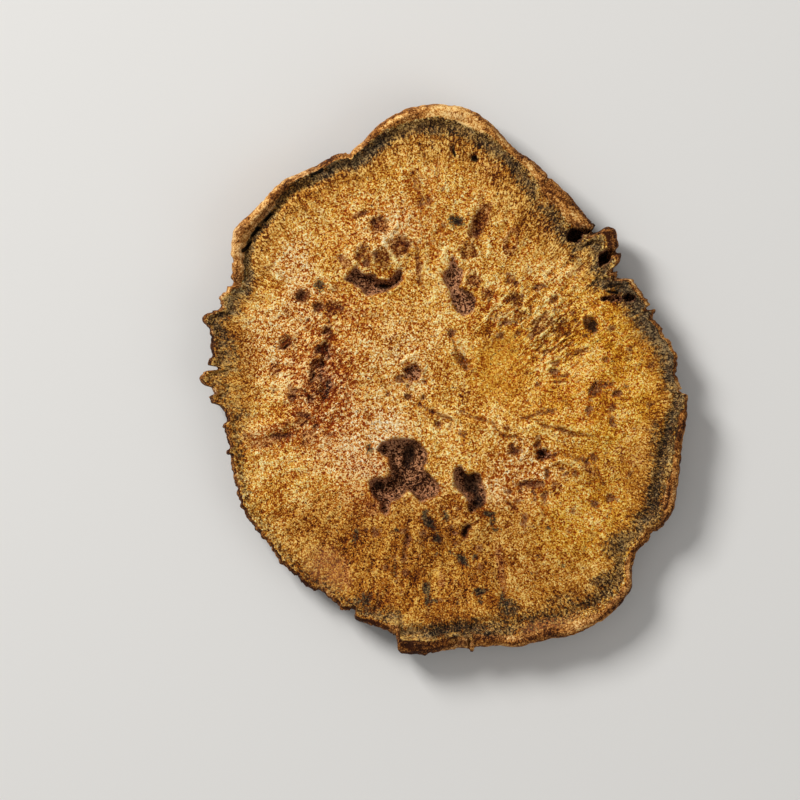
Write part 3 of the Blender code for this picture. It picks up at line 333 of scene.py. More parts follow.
# Broad areas of a colour, each as x, y, half length, half width, tilt and strength.
AREAS = {
    "bruise": [
        (7.4, -26.4, 1.34, 1.05, 0, 0.6), (4.4, -29.2, 4.88, 0.99, 3, 0.6),
        (20.2, -25.1, 0.52, 0.58, 0, 0.6), (24.4, -12.7, 1.16, 0.7, 80, 0.9),
        (20.1, -19.1, 2.21, 1.39, 40, 0.6), (20.4, -20.9, 1.63, 0.7, 90, 0.6),
        (18.3, -23.2, 1.63, 0.93, 20, 0.6), (13.5, -25.6, 2.56, 0.93, 15, 0.35),
        (22.8, -16.3, 1.16, 1.39, 70, 0.5), (11.2, 22.1, 1.39, 0.81, -40, 0.45),
        (15.2, 13.9, 1.05, 0.7, -50, 0.4), (24.5, -7.0, 2.56, 0.81, 90, 0.4),
    ],
    "rust": [
        (-10, 19.2, 0.93, 0.35, 20, 0.8), (-7.5, 17.9, 1.05, 0.99, 0, 0.6),
        (-5.1, 15.6, 1.28, 1.16, 0, 0.5), (-11.5, 13.5, 0.58, 0.52, 0, 0.8),
        (4.1, 18.5, 2.09, 0.75, 62, 0.85), (3.3, 11.4, 0.93, 0.7, 0, 0.55), (4.9, 10, 0.7, 0.58, 60, 0.6),
        (-3.1, 13, 0.35, 2.09, 3, 0.6), (-2.2, 15.3, 0.23, 1.05, -5, 0.5), (-17, 9.9, 0.93, 0.81, 0, 0.5),
        (-11.7, 13.7, 0.93, 0.81, 0, 0.4), (-19.7, 1.3, 0.58, 0.93, 0, 0.6),
        (-17.7, -1.7, 0.93, 0.81, 0, 0.5), (-16.5, -5, 0.58, 0.46, 0, 0.8),
        (-19.6, -6.6, 0.93, 0.58, 0, 0.8), (-15.9, -6.5, 0.93, 0.58, 0, 0.8),
        (-16.3, -7.4, 0.46, 0.35, 0, 0.8), (-15, 0.6, 1.16, 3.02, -6, 0.5),
        (-8.4, -14.9, 1.16, 0.93, 0, 0.6), (-21.1, -7.2, 1.63, 0.58, 15, 0.6),
        (-23.1, -6.5, 0.93, 0.58, 0, 0.5), (-13, 8.4, 0.93, 0.7, 0, 0.5),
        (-16.3, -4.2, 1.16, 0.58, -10, 0.6), (-11.4, -22.6, 0.35, 2.09, 5, 0.6),
        (16.8, -10.5, 1.16, 0.52, -38, 0.6), (13, -12.5, 0.81, 0.81, 0, 0.4),
        (19, -10, 0.81, 0.81, 0, 0.35), (20.2, -8.1, 0.81, 0.7, 0, 0.35), (15.2, 12.5, 1.28, 0.46, 25, 0.5),
        (20.6, -9.2, 0.29, 0.46, 0, 0.6), (7.9, -8.2, 0.93, 0.7, 0, 0.5), (9.9, -12.3, 1.74, 0.58, 0, 0.4),
        (6.4, -21.8, 0.46, 3.02, 8, 0.65), (11.8, 20.3, 1.16, 0.93, 0, 0.35),
        (9.4, 23.2, 1.39, 0.93, -30, 0.35), (11.8, 18, 1.39, 1.16, -40, 0.35),
        (14.9, 8.1, 1.63, 1.39, 0, 0.2), (-18.4, 7.9, 0.58, 0.46, 0, 0.5),
        (-15.5, 19.2, 1.63, 1.05, 40, 0.25), (22.3, -9.2, 0.93, 1.16, 0, 0.35),
        (-0.4, -23.2, 0.46, 1.16, 0, 0.4), (-2.3, 20.6, 1.05, 0.7, 0, 0.4),
        (14.9, -27.2, 0.93, 0.81, 0, 0.5), (23.1, -18.5, 1.05, 0.81, 30, 0.7),
        (-5.8, 3.5, 0.93, 1.97, 0, 0.3), (-0.9, -4.4, 1.51, 0.93, 0, 0.3), (2.2, -1.7, 0.7, 1.16, 0, 0.35),
        (5, 4.9, 0.93, 1.39, 0, 0.35), (-3.3, 23.5, 0.58, 1.39, 15, 0.4), (5.4, 24.4, 1.63, 1.16, -35, 0.3),
    ],
    "cream": [
        (-17.3, 13.5, 3.0, 2.2, 80, 0.5), (-16.5, 9.0, 3.5, 2.6, 90, 0.5), (-20.0, 4.0, 4.5, 3.5, 90, 0.45),
        (-13.5, -3.0, 4.0, 6.0, 0, 0.55), (-9.5, -6.5, 5.5, 4.0, 20, 0.7), (-9.0, -9.9, 2.2, 1.5, 0, 0.85),
        (-6.2, 2.0, 6.0, 5.0, 70, 0.3), (-6.5, 18.0, 3.5, 2.5, 30, 0.4), (6.8, -12.0, 3.2, 2.6, 0, 0.5),
        (10.0, -10.3, 5.0, 3.0, 0, 0.5), (9.5, 15.0, 5.0, 5.0, 0, 0.2), (20.5, -4.4, 2.0, 1.4, 0, 0.45),
        (23.0, -6.5, 1.5, 1.5, 0, 0.4), (14.8, -6.8, 2.8, 1.0, -10, 0.5),
    ],
    "gold": [
        (18.5, 0.0, 8.0, 12.0, 0, 0.9), (17.0, -17.0, 7.0, 6.0, 0, 0.8), (9.5, 14.0, 5.0, 6.0, 0, 0.45),
        (7.0, 2.0, 5.0, 5.0, 0, 0.5), (8.9, -25.6, 5.8, 2.3, 10, 0.4),
    ],
    "ochre": [
        (-4.0, -22.0, 14.0, 8.5, 0, 1.0), (-13.0, -19.0, 6.0, 5.0, -30, 0.9),
        (4.0, -29.0, 15.0, 3.0, 3, 0.9), (8.0, -17.0, 4.0, 3.0, 0, 0.6), (13.0, -24.0, 6.0, 4.0, 20, 0.6),
        (22.5, -9.5, 3.0, 3.0, 0, 0.4), (-25.5, 0.0, 3.0, 9.0, 0, 0.9), (24.0, -13.0, 2.5, 7.0, 0, 0.6),
        (25.0, 4.0, 2.5, 7.0, 10, 0.5), (10.0, 23.5, 6.0, 3.0, -40, 0.5),
    ],
    "smooth": [(6.8, 2.0, 4.41, 3.25, 70, 0.9), (11.2, -2.3, 3.48, 2.09, 20, 0.4),
               (19.0, -2.0, 6.0, 14.0, 0, 0.3),
               (14.0, -16.0, 6.0, 5.0, 0, 0.3)],
    "ruddy": [(-14.5, -1.0, 4.5, 9.0, 0, 1.0), (-19.5, -6.5, 5.0, 1.8, 10, 1.0),
              (-9.5, -12.5, 3.5, 4.5, 0, 1.0), (-12.0, 7.5, 4.0, 3.0, 0, 0.8),
              (-11.5, -17.0, 5.0, 4.0, 0, 0.7), (-8.5, 15.5, 5.0, 3.5, 0, 0.5),
              (-2.5, 19.0, 3.0, 5.0, 0, 0.6), (8.0, -13.5, 5.0, 3.0, 0, 0.5),
              (16.0, -1.5, 5.0, 3.5, 0, 0.5), (-1.0, -16.0, 4.0, 3.0, 0, 0.6),
              (5.0, -24.0, 5.0, 4.0, 0, 0.4), (-10.0, 19.0, 4.0, 3.0, 0, 0.4)],
    "streaky": [(-1.0, 23.0, 6.0, 8.0, 0, 1.0), (14.0, -6.5, 6.5, 3.5, -20, 0.9),
                (5.0, -23.0, 6.0, 6.0, 0, 0.5),
                (17.0, -18.0, 5.0, 6.0, 45, 0.6), (-11.0, 21.0, 6.0, 4.0, 30, 0.4),
                (9.0, 15.0, 4.0, 6.0, 0, 0.4)],
    "wrinkled": [(12.0, 4.5, 5.0, 3.2, 40, 1.0), (6.5, 8.0, 4.0, 3.0, 50, 0.9),
                 (12.0, 10.5, 3.0, 3.0, 0, 0.5),
                 (-15.0, 1.0, 5.0, 8.0, 0, 0.9), (9.0, -9.5, 4.0, 3.0, 0, 0.5), (3.5, 14.5, 4.0, 4.0, 0, 0.5),
                 (-7.5, 14.0, 4.0, 2.5, 0, 0.5), (2.0, -16.0, 4.0, 3.0, 0, 0.6)],
    "speckled": [(18.0, -2.0, 9.0, 16.0, 0, 1.0), (9.0, 7.0, 7.0, 6.0, 0, 0.9),
                 (-15.0, 1.0, 6.0, 10.0, 0, 0.9), (0.0, -20.0, 13.0, 8.0, 0, 0.9),
                 (0.0, 18.0, 9.0, 6.0, 0, 0.7), (12.0, -13.0, 8.0, 6.0, 0, 0.9)],
    "pink": [(-13.6, -22.0, 3.48, 2.56, -40, 0.6), (12.1, -28.8, 3.95, 1.39, 8, 0.7),
             (3.9, 30.0, 1.39, 0.81, -20, 0.6),
             (19.7, -26.0, 0.81, 0.64, 0, 0.7)],
}
# Cracks: half width, depth, how dark the painted shade in them is, then the points they run through.
CRACKS = [
    (0.14, 0.5, 1.0, [(1.0, 27.4), (1.1, 26.0)]), (0.35, 0.8, 1.0, [(3.3, 25.7), (3.6, 25.6)]),
    (0.12, 0.4, 0.9, [(-10.9, 26.6), (-10.3, 25.7)]),
    (0.22, 0.8, 1.0, [(-23.4, 15.0), (-22.6, 16.0)]), (0.2, 0.8, 1.0, [(-22.4, 16.7), (-21.7, 17.6)]),
    (0.2, 0.7, 1.0, [(-20.9, 18.5), (-20.2, 19.3)]), (0.18, 0.6, 1.0, [(-15.5, 23.6), (-14.3, 24.4)]),
    (0.15, 0.5, 1.0, [(19.0, 10.2), (20.1, 10.1)]),
]
# The dark cambium line between flesh and bark: bearing, distance of its middle inside the outline, half
# width and darkness. The bark lies outside it.
CAMBIUM = [
    (0, 0.6, 1.0, .85), (7, .8, 1.2, .85), (19, 1.1, 1.5, .8), (28, 1.3, 1.1, .85), (34, 2.3, 1.3, .8),
    (40, 2.9, 1.4, .8), (46, 2.5, 1.2, .8), (52, 3.4, 1.1, .7), (58, 3.1, 1.1, .65), (62, 3.4, 1.2, .4),
    (66, 2.6, 1.2, .85), (70, 2.2, 1.0, .85), (74, 1.6, .8, .9), (79, 2.5, 1.0, .9), (84, 2.9, .85, .9),
    (89, 2.7, .95, .95), (94, 2.5, 1.0, .95), (98, 2.4, .7, .95), (103, 2.1, .85, .9), (110, 1.5, .9, .8),
    (117, 1.3, .85, .75), (123, 1.35, .65, .8), (132, 1.75, .42, .85), (138, 2.1, .4, .9),
    (146, 2.6, .42, .9), (152, 2.3, .55, .8), (160, 1.4, 1.1, .75), (166, 1.5, 1.3, .7),
    (173, 1.7, 1.6, .6), (180, 1.9, 1.8, .5), (187, 1.6, 1.6, .45), (195, 1.3, 1.2, .45),
    (200, 1.0, .9, .45), (230, 1, .8, .4), (245, .9, .7, .5), (255, 1.5, .8, .6), (262, 2.6, .9, .7),
    (271, 2.4, .9, .8), (280, 2.5, 1.2, .6), (287, 2.8, 1.4, .5), (298, 2.8, 1.4, .5), (305, 2.4, 1.3, .6),
    (313, 2.2, 1.0, .75), (320, 1.5, .9, .6), (328, 1.9, 1.1, .85), (331, 2.8, 1.1, .8),
    (339, 2.3, 1.2, .75), (346, 1.8, .8, .95), (350.5, 1.7, .65, .95), (355, 1.0, .7, .85),
]
# How far in from the cambium the orange-brown rays reach, as bearing, distance and how plain they are.
RAY_REACH = [(0, 3.5, .85), (15, 3.2, .8), (30, 3, .9), (42, 4, 1.1), (70, 6.5, 1.2), (90, 5.5, 1.1),
             (112, 3.4, 1), (150, 3.2, 1),
             (170, 2.5, .3), (205, 2.5, .2), (230, 2.5, .3), (270, 3.5, .5), (300, 4.5, .8), (330, 4, .8),
             (350, 4, .8)]
# How grey the cambium line is, as bearing and value.
GREYNESS = [(0, .8), (25, .9), (35, .5), (60, .4), (75, .4), (88, .15), (100, .2), (106, .8), (118, .9),
            (126, .4), (140, .3), (152, .5),
            (165, .5), (180, .4), (230, .3), (262, .6), (280, .4), (300, .3), (320, .4), (335, .4),
            (345, .4), (355, .6)]
# The bark's lightness and its warmth, as bearing and value.
BARK_TONE = [(0, .4), (28, .4), (36, .25), (45, .25), (52, .4), (70, .42), (80, .55), (90, .6),
             (100, .55), (110, .4), (120, .46), (135, .58),
             (150, .55), (165, .25), (180, .2), (200, .22), (230, .2), (252, .15), (262, .12), (272, .35),
             (300, .45), (330, .3), (350, .35)]
BARK_WARMTH = [(0, .9), (30, .7), (45, .6), (55, 1), (80, 1), (100, 1), (120, .8), (150, .7), (165, .4),
               (200, .5), (230, .6), (255, .7), (270, .8), (300, .8), (330, .8), (350, .9)]
LEAST_BARK = 0.35
# How plain the painted shade is in the gap where the bark has come away from the flesh.
GAP_SHADE = [(0, 0), (95, 0), (105, .5), (115, 1), (153, 1), (160, .5), (170, 0), (258, 0), (265, .6), (280, .6),
        (290, 0), (320, 0), (328, .8), (350, 1), (357, .3)]
RAY_CENTRE = (-0.5, -3.5)  # the root's own middle, where its rays meet
# The deepest places in the pits, each sunk further and painted near black as their shadow: x, y, half length,
# half width, tilt and extra depth.
DEEPEST_AND_SHADED = [
    (-4.2, -8.9, 1.4, 0.6, 80, 0.5), (-7.8, -12.3, 0.6, 0.45, 0, 0.4), (3.0, -12.2, 1.7, 0.7, -62, 0.4),
    (3.9, -14.2, 0.8, 0.5, -78, 0.3), (-7.1, 10.9, 0.65, 0.4, 0, 0.5), (11.3, -8.6, 0.3, 0.2, -20, 0.3),
    (15.0, 16.8, 0.9, 0.8, 0, 0.3), (18.6, 14.2, 1.0, 0.6, 45, 0.3), (17.1, 6.3, 0.6, 0.5, 90, 0.2),
    (2.5, -17.5, 0.7, 0.3, 65, 0.2), (21.4, 9.5, 0.7, 0.5, 0, 0.3),
]
# Places where the flesh dried in wrinkles: x, y, half length, half width, tilt, then the wrinkles' heading,
# spacing and height.
WRINKLES = [
    (8.9, 4.6, 7.5, 4.5, 75, 38, 0.75, 0.16), (15.0, -7.0, 5.0, 3.5, -15, -18, 0.9, 0.14),
    (-14.3, -0.5, 8.0, 2.6, 85, 75, 0.8, 0.15), (-8.0, 14.5, 4.0, 2.2, 10, 50, 0.8, 0.14),
    (-2.5, 23.0, 4.0, 3.0, 90, 95, 0.8, 0.13), (4.5, -21.0, 5.5, 5.5, 0, 85, 1.0, 0.13),
    (17.0, -20.0, 4.5, 3.5, -45, -50, 0.8, 0.13), (-6.0, -22.0, 6.0, 4.5, 0, 70, 1.0, 0.13),
    (4.5, 16.0, 4.0, 3.5, 60, 65, 0.8, 0.13), (12.0, 10.5, 4.0, 3.5, 45, 40, 0.8, 0.13),
    (15.0, 3.0, 4.0, 3.5, 30, 30, 0.7, 0.13),
]

# Broad swells and hollows of the cut face: x, y, half length, half width, tilt and height.
SWELLS = [
    (8.0, 0.5, 9.5, 7.5, 10, -0.5), (-13.0, -2.0, 8.0, 11.0, 0, 0.3), (12.5, -14.0, 7.0, 5.0, 40, 0.35),
    (-9.5, 15.0, 8.0, 5.0, 30, 0.3), (0.0, -22.0, 9.0, 5.0, 0, -0.25), (18.0, 3.0, 4.0, 9.0, 0, 0.25),
]
# Long folds: where each starts and ends, its half width and its height.
FOLDS = [
    ((9.0, -3.6), (20.0, -7.2), 0.55, 0.28), ((11.5, -8.0), (20.5, -13.0), 0.6, 0.3),
    ((-1.8, -3.4), (8.8, -6.8), 0.35, 0.22), ((13.0, -12.0), (19.5, -17.5), 0.8, 0.25),
    ((-16.5, -4.0), (-24.0, -7.0), 0.7, 0.22), ((-12.0, 6.0), (-22.0, 9.5), 0.8, 0.2),
    ((5.2, -15.0), (6.8, -27.0), 0.7, -0.25), ((9.5, 3.5), (13.5, 8.5), 0.7, 0.25),
]
# The face's unevenness, as height and wave length.
UNDULATION = (0.22, 9.0)
GRAIN = (0.07, 1.9)
RAY_RIDGES = (0.09, 36, 4)  # height, ridges in a radian and the length of one

# How finely the surface is divided: points round the rim, and distances between the rings.
RIM_POINTS = 832
FACE_RING = 0.2
UNDERSIDE_RING = 0.45
# A ring has half the points of the last one where they would come closer, as a share of its spacing.
CLOSEST_POINTS = 0.725
RAGGED_REACH = 3.5  # how far in the rings still follow the ragged edge
OUTLINE_STEPS_A_DEGREE = 20


def ease(t):
    """A smooth step from 0 to 1."""
    t = np.clip(t, 0.0, 1.0)
    return t * t * (3 - 2 * t)


def waves(x, y, seed):
    """Seeded smooth noise between about -1 and 1, with a bump for about every unit of length."""
    column, row = np.floor(x).astype(np.int64), np.floor(y).astype(np.int64)
    fx, fy = x - column, y - row

    def slope(i, j):
        mixed = (column + i) * 374761393 + (row + j) * 668265263 + seed * 1442695041
        mixed = ((mixed ^ (mixed >> 13)) * 1274126177) & 0xFFFFFFFF
        angle = (mixed ^ (mixed >> 16)) / 0xFFFFFFFF * 2 * math.pi
        return np.cos(angle) * (fx - i) + np.sin(angle) * (fy - j)

    u, v = ease(fx), ease(fy)
    low = slope(0, 0) * (1 - u) + slope(1, 0) * u
    high = slope(0, 1) * (1 - u) + slope(1, 1) * u
    return (low * (1 - v) + high * v) * 1.5


def round_the_slice(table, bearing, column=1):
    """A value from a table that starts with the bearing, eased between its rows and joined up at 360."""
    angles = np.array([row[0] for row in table] + [table[0][0] + 360.0])
    values = np.array([row[column] for row in table] + [table[0][column]], float)
    bearing = (np.asarray(bearing, float) - angles[0]) % 360 + angles[0]
    i = np.clip(np.searchsorted(angles, bearing, side="right") - 1, 0, len(table) - 1)
    share = ease((bearing - angles[i]) / (angles[i + 1] - angles[i]))
    return values[i] * (1 - share) + values[i + 1] * share


def smooth_outline(bearing):
    """The outline's reach at a bearing, on a curve through its points."""
    count = len(OUTLINE)
    angles = np.array([p[0] for p in OUTLINE], float)
    reach = np.array([p[1] for p in OUTLINE], float)
    bearing = np.asarray(bearing, float) % 360
    i = np.searchsorted(angles, bearing, side="right") - 1
    here, after = i % count, (i + 1) % count
    step = (angles[after] - angles[here]) % 360
    t = ((bearing - angles[here]) % 360) / step
    before_gap = (angles[here] - angles[here - 1]) % 360
    after_gap = (angles[(after + 1) % count] - angles[after]) % 360
    slope_here = (reach[after] - reach[here - 1]) / (step + before_gap) * step
    slope_after = (reach[(after + 1) % count] - reach[here]) / (step + after_gap) * step
    return (
        reach[here] * (1 + 2 * t) * (1 - t) ** 2
        + slope_here * t * (1 - t) ** 2
        + reach[after] * t * t * (3 - 2 * t)
        + slope_after * t * t * (t - 1)
    )


def ragged_outline(bearing):
    """The outline with its splits, bark scraps and crumbled edge."""
    reach = smooth_outline(bearing)
    for at, width, out in NICKS_AND_SCRAPS:
        away = np.abs((bearing - at + 180) % 360 - 180) / width
        reach = reach + out * ease(1.7 * (1 - away))
    turn = np.radians(bearing)
    x, y = reach * np.cos(turn), reach * np.sin(turn)
    rough = (waves(x / 2.2, y / 2.2, 11) + 0.6 * waves(x / 1.1, y / 1.1, 12) + 0.5 * waves(x / 0.5, y / 0.5, 13)
             + 0.4 * waves(x / 0.3, y / 0.3, 14))
    return reach + round_the_slice(RAGGEDNESS, bearing) * rough


FINE_BEARINGS = np.arange(360 * OUTLINE_STEPS_A_DEGREE) / OUTLINE_STEPS_A_DEGREE
FINE_REACHES = ragged_outline(FINE_BEARINGS)
ROUND_BEARINGS = np.append(FINE_BEARINGS, 360.0)
ROUND_REACHES = np.append(FINE_REACHES, FINE_REACHES[0])


def reach_at(bearing):
    """The ragged outline's reach at a bearing."""
    return np.interp(np.asarray(bearing) % 360, ROUND_BEARINGS, ROUND_REACHES)


def from_edge(x, y):
    """The bearing of points and how far inside the outline they are."""
    bearing = np.degrees(np.arctan2(y, x)) % 360
    return bearing, reach_at(bearing) - np.hypot(x, y)


def lobe_share(x, y, lobe):
    """1 at the middle of an oval, 0 on its edge and below 0 outside it."""
    cx, cy, length, width, tilt = lobe[:5]
    c, s = math.cos(math.radians(tilt)), math.sin(math.radians(tilt))
    along, across = (x - cx) * c + (y - cy) * s, (y - cy) * c - (x - cx) * s
    return 1 - np.hypot(along / length, across / width)


def from_segment(x, y, start, end):
    """The distance to a straight stretch, and the share of the way along it."""
    (ax, ay), (bx, by) = start, end
    dx, dy = bx - ax, by - ay
    share = np.clip(((x - ax) * dx + (y - ay) * dy) / (dx * dx + dy * dy), 0, 1)
    return np.hypot(x - ax - share * dx, y - ay - share * dy), share


def within(x, y, corners):
    """How far points are inside a closed line through corners, below 0 outside it."""
    away, crossed = np.full_like(x, 1e9), np.zeros(x.shape, bool)
    for a, b in zip(corners, corners[1:] + corners[:1]):
        away = np.minimum(away, from_segment(x, y, a, b)[0])
        if a[1] != b[1]:
            crossing = a[0] + (y - a[1]) * (b[0] - a[0]) / (b[1] - a[1])
            crossed ^= ((a[1] > y) != (b[1] > y)) & (x < crossing)
    return np.where(crossed, away, -away)


def torn(x, y):
    """Points moved a little at random, so that what is placed by them gets a torn edge."""
    return (x + 0.2 * waves(x / 1.3, y / 1.3, 61) + 0.22 * waves(x / 0.5, y / 0.5, 63),
            y + 0.2 * waves(x / 1.3, y / 1.3, 62) + 0.22 * waves(x / 0.5, y / 0.5, 64))


def underside_height(x, y):
    """The underside: flat in the middle and cupped up towards the edge."""
    bearing, _ = from_edge(x, y)
    spot = np.hypot(x / REST_SPOT[0], y / REST_SPOT[1])
    edge = np.hypot(x, y) / np.maximum(spot, 1e-6)
    out = (np.hypot(x, y) - edge) / (smooth_outline(bearing) - edge)
    lift = EDGE_LIFT * (1 + 0.25 * np.sin(np.radians(2 * bearing + 40)))
    rise = np.where(spot > 1, np.clip(out, 0, 1.1), 0.0)
    return lift * rise**1.4 * (1 + 0.12 * waves(x / 6, y / 6, 21))


def face_height(x, y):
    """The cut face with its pits, dents, cracks, grain and the groove inside the bark."""
    bearing, inside = from_edge(x, y)
    share = np.clip(np.hypot(x, y) / smooth_outline(bearing), 0, 1)
    thinner = round_the_slice(EDGE_THICKNESS, bearing) - MIDDLE_THICKNESS
    z = underside_height(x, y) + (MIDDLE_THICKNESS + thinner * ease((share - 0.35) / 0.65))
    for *swell, height in SWELLS:
        z = z + height * ease(lobe_share(x, y, swell))
    for start, end, width, height in FOLDS:
        away, along = from_segment(x, y, start, end)
        z = z + height * ease(1 - away / (2 * width)) * ease(4 * along) * ease(4 * (1 - along))
    z = z + UNDULATION[0] * waves(x / UNDULATION[1], y / UNDULATION[1], 31)
    z = z + GRAIN[0] * waves(x / GRAIN[1], y / GRAIN[1], 32)
    inset = round_the_slice(GROOVE_INSET, bearing) + 0.3 * waves(x / 3, y / 3, 33)
    groove = ease(1 - np.abs(inside - inset) / (2 * GROOVE_HALF_WIDTH))
    z = z - round_the_slice(GROOVE_DEPTH, bearing) * groove
    z = z + round_the_slice(BARK_RAISE, bearing) * ease((inset - inside) / 1.2)
    z = z + 0.1 * ease((inset - inside) / 0.6) * waves(np.radians(bearing) * 9, inside / 0.55, 37)

    tx, ty = torn(x, y)
    coarse_crumbs, fine_crumbs = waves(x / 0.7, y / 0.7, 38), waves(x / 0.42, y / 0.42, 39)
    for depth, _, lobes in PITS.values():
        deepest = np.max([lobe_share(tx, ty, lobe) for lobe in lobes], axis=0)
        sunk = ease((deepest + PIT_BRIM - 1) / PIT_WALL)
        z = z - sunk * (depth + 0.16 * coarse_crumbs + 0.1 * fine_crumbs)
    frayed_x = x + 0.12 * waves(x / 0.45, y / 0.45, 67)
    frayed_y = y + 0.12 * waves(x / 0.45, y / 0.45, 68)
    for depth, _, corners in TORN_PITS.values():
        depth_in = within(frayed_x, frayed_y, corners)
        shape = 0.75 + 0.25 * ease(depth_in / 1.0) + 0.18 * coarse_crumbs + 0.15 * fine_crumbs
        z = z - depth * shape * ease(0.5 + depth_in / 0.45)
    for *hole, extra in DEEPEST_AND_SHADED:
        z = z - extra * ease(1.4 * (lobe_share(tx, ty, hole) + 0.2))
    for *dent, depth, _ in DENTS:
        z = z - depth * ease(1.6 * (lobe_share(tx, ty, dent) + 0.25))
    for *fleck, strength in FLECKS:
        z = z - 0.14 * strength * ease(1.5 * (lobe_share(tx, ty, fleck) + 0.2))
    for width, depth, _, points in CRACKS:
        z = z - depth * ease(1 - from_crack(x, y, points) / (2.2 * width))
    return z + small_relief(x, y)


def from_crack(x, y, points):
    """The distance to a crack, which wanders a little from its straight stretches."""
    x = x + 0.14 * waves(x / 0.9, y / 0.9, 65)
    y = y + 0.14 * waves(x / 0.9, y / 0.9, 66)
    return np.min([from_segment(x, y, a, b)[0] for a, b in zip(points, points[1:])], axis=0)


def small_relief(x, y):
    """Lumps, wrinkles and rays that stand a tenth or two of a millimetre off the cut face."""
    calm = 1 - 0.6 * strength_of(x, y, AREAS["smooth"])
    low = 0.06 * waves(x / 0.95, y / 0.95, 34) + 0.05 * waves(x / 0.5, y / 0.5, 35)
    cx, cy = x - RAY_CENTRE[0], y - RAY_CENTRE[1]
    height, in_a_radian, length = RAY_RIDGES
    rays = waves(np.arctan2(cy, cx) * in_a_radian, np.hypot(cx, cy) / length, 36)
    low = low + height * rays * ease((np.hypot(cx, cy) - 10) / 8)
    for *area, heading, spacing, height in WRINKLES:
        c, s = math.cos(math.radians(heading)), math.sin(math.radians(heading))
        ridges = waves((x * c + y * s) / (4 * spacing), (y * c - x * s) / spacing, 44)
        low = low + height * (0.55 - np.abs(ridges) * 1.6) * ease(0.5 + lobe_share(x, y, area))
    tx, ty = torn(x, y)
    for *ring, relief, _ in RINGS:
        across = lobe_share(tx, ty, ring)
        low = low + relief * (0.6 * ease(1 - np.abs(across) / 0.3) - ease(1.5 * across))
    for *star, strength in STARS:
        across = lobe_share(tx, ty, star)
        low = low + 0.13 * strength * (ease(1 - np.abs(across) / 0.28) - ease(1.5 * across))
    for width, height, points in RIDGES:
        low = low + height * ease(1 - from_crack(x, y, points) / (2 * width))
    for width, brown, points in FURROWS:
        low = low - 0.16 * brown * ease(1 - from_crack(x, y, points) / (2 * width))
    return low * calm


def strength_of(x, y, spots):
    """How strongly points lie in a list of oval areas, faded over their edges."""
    strength = np.zeros_like(x)
    for *spot, share in spots:
        strength = np.maximum(strength, share * ease(0.5 + lobe_share(x, y, spot)))
    return strength


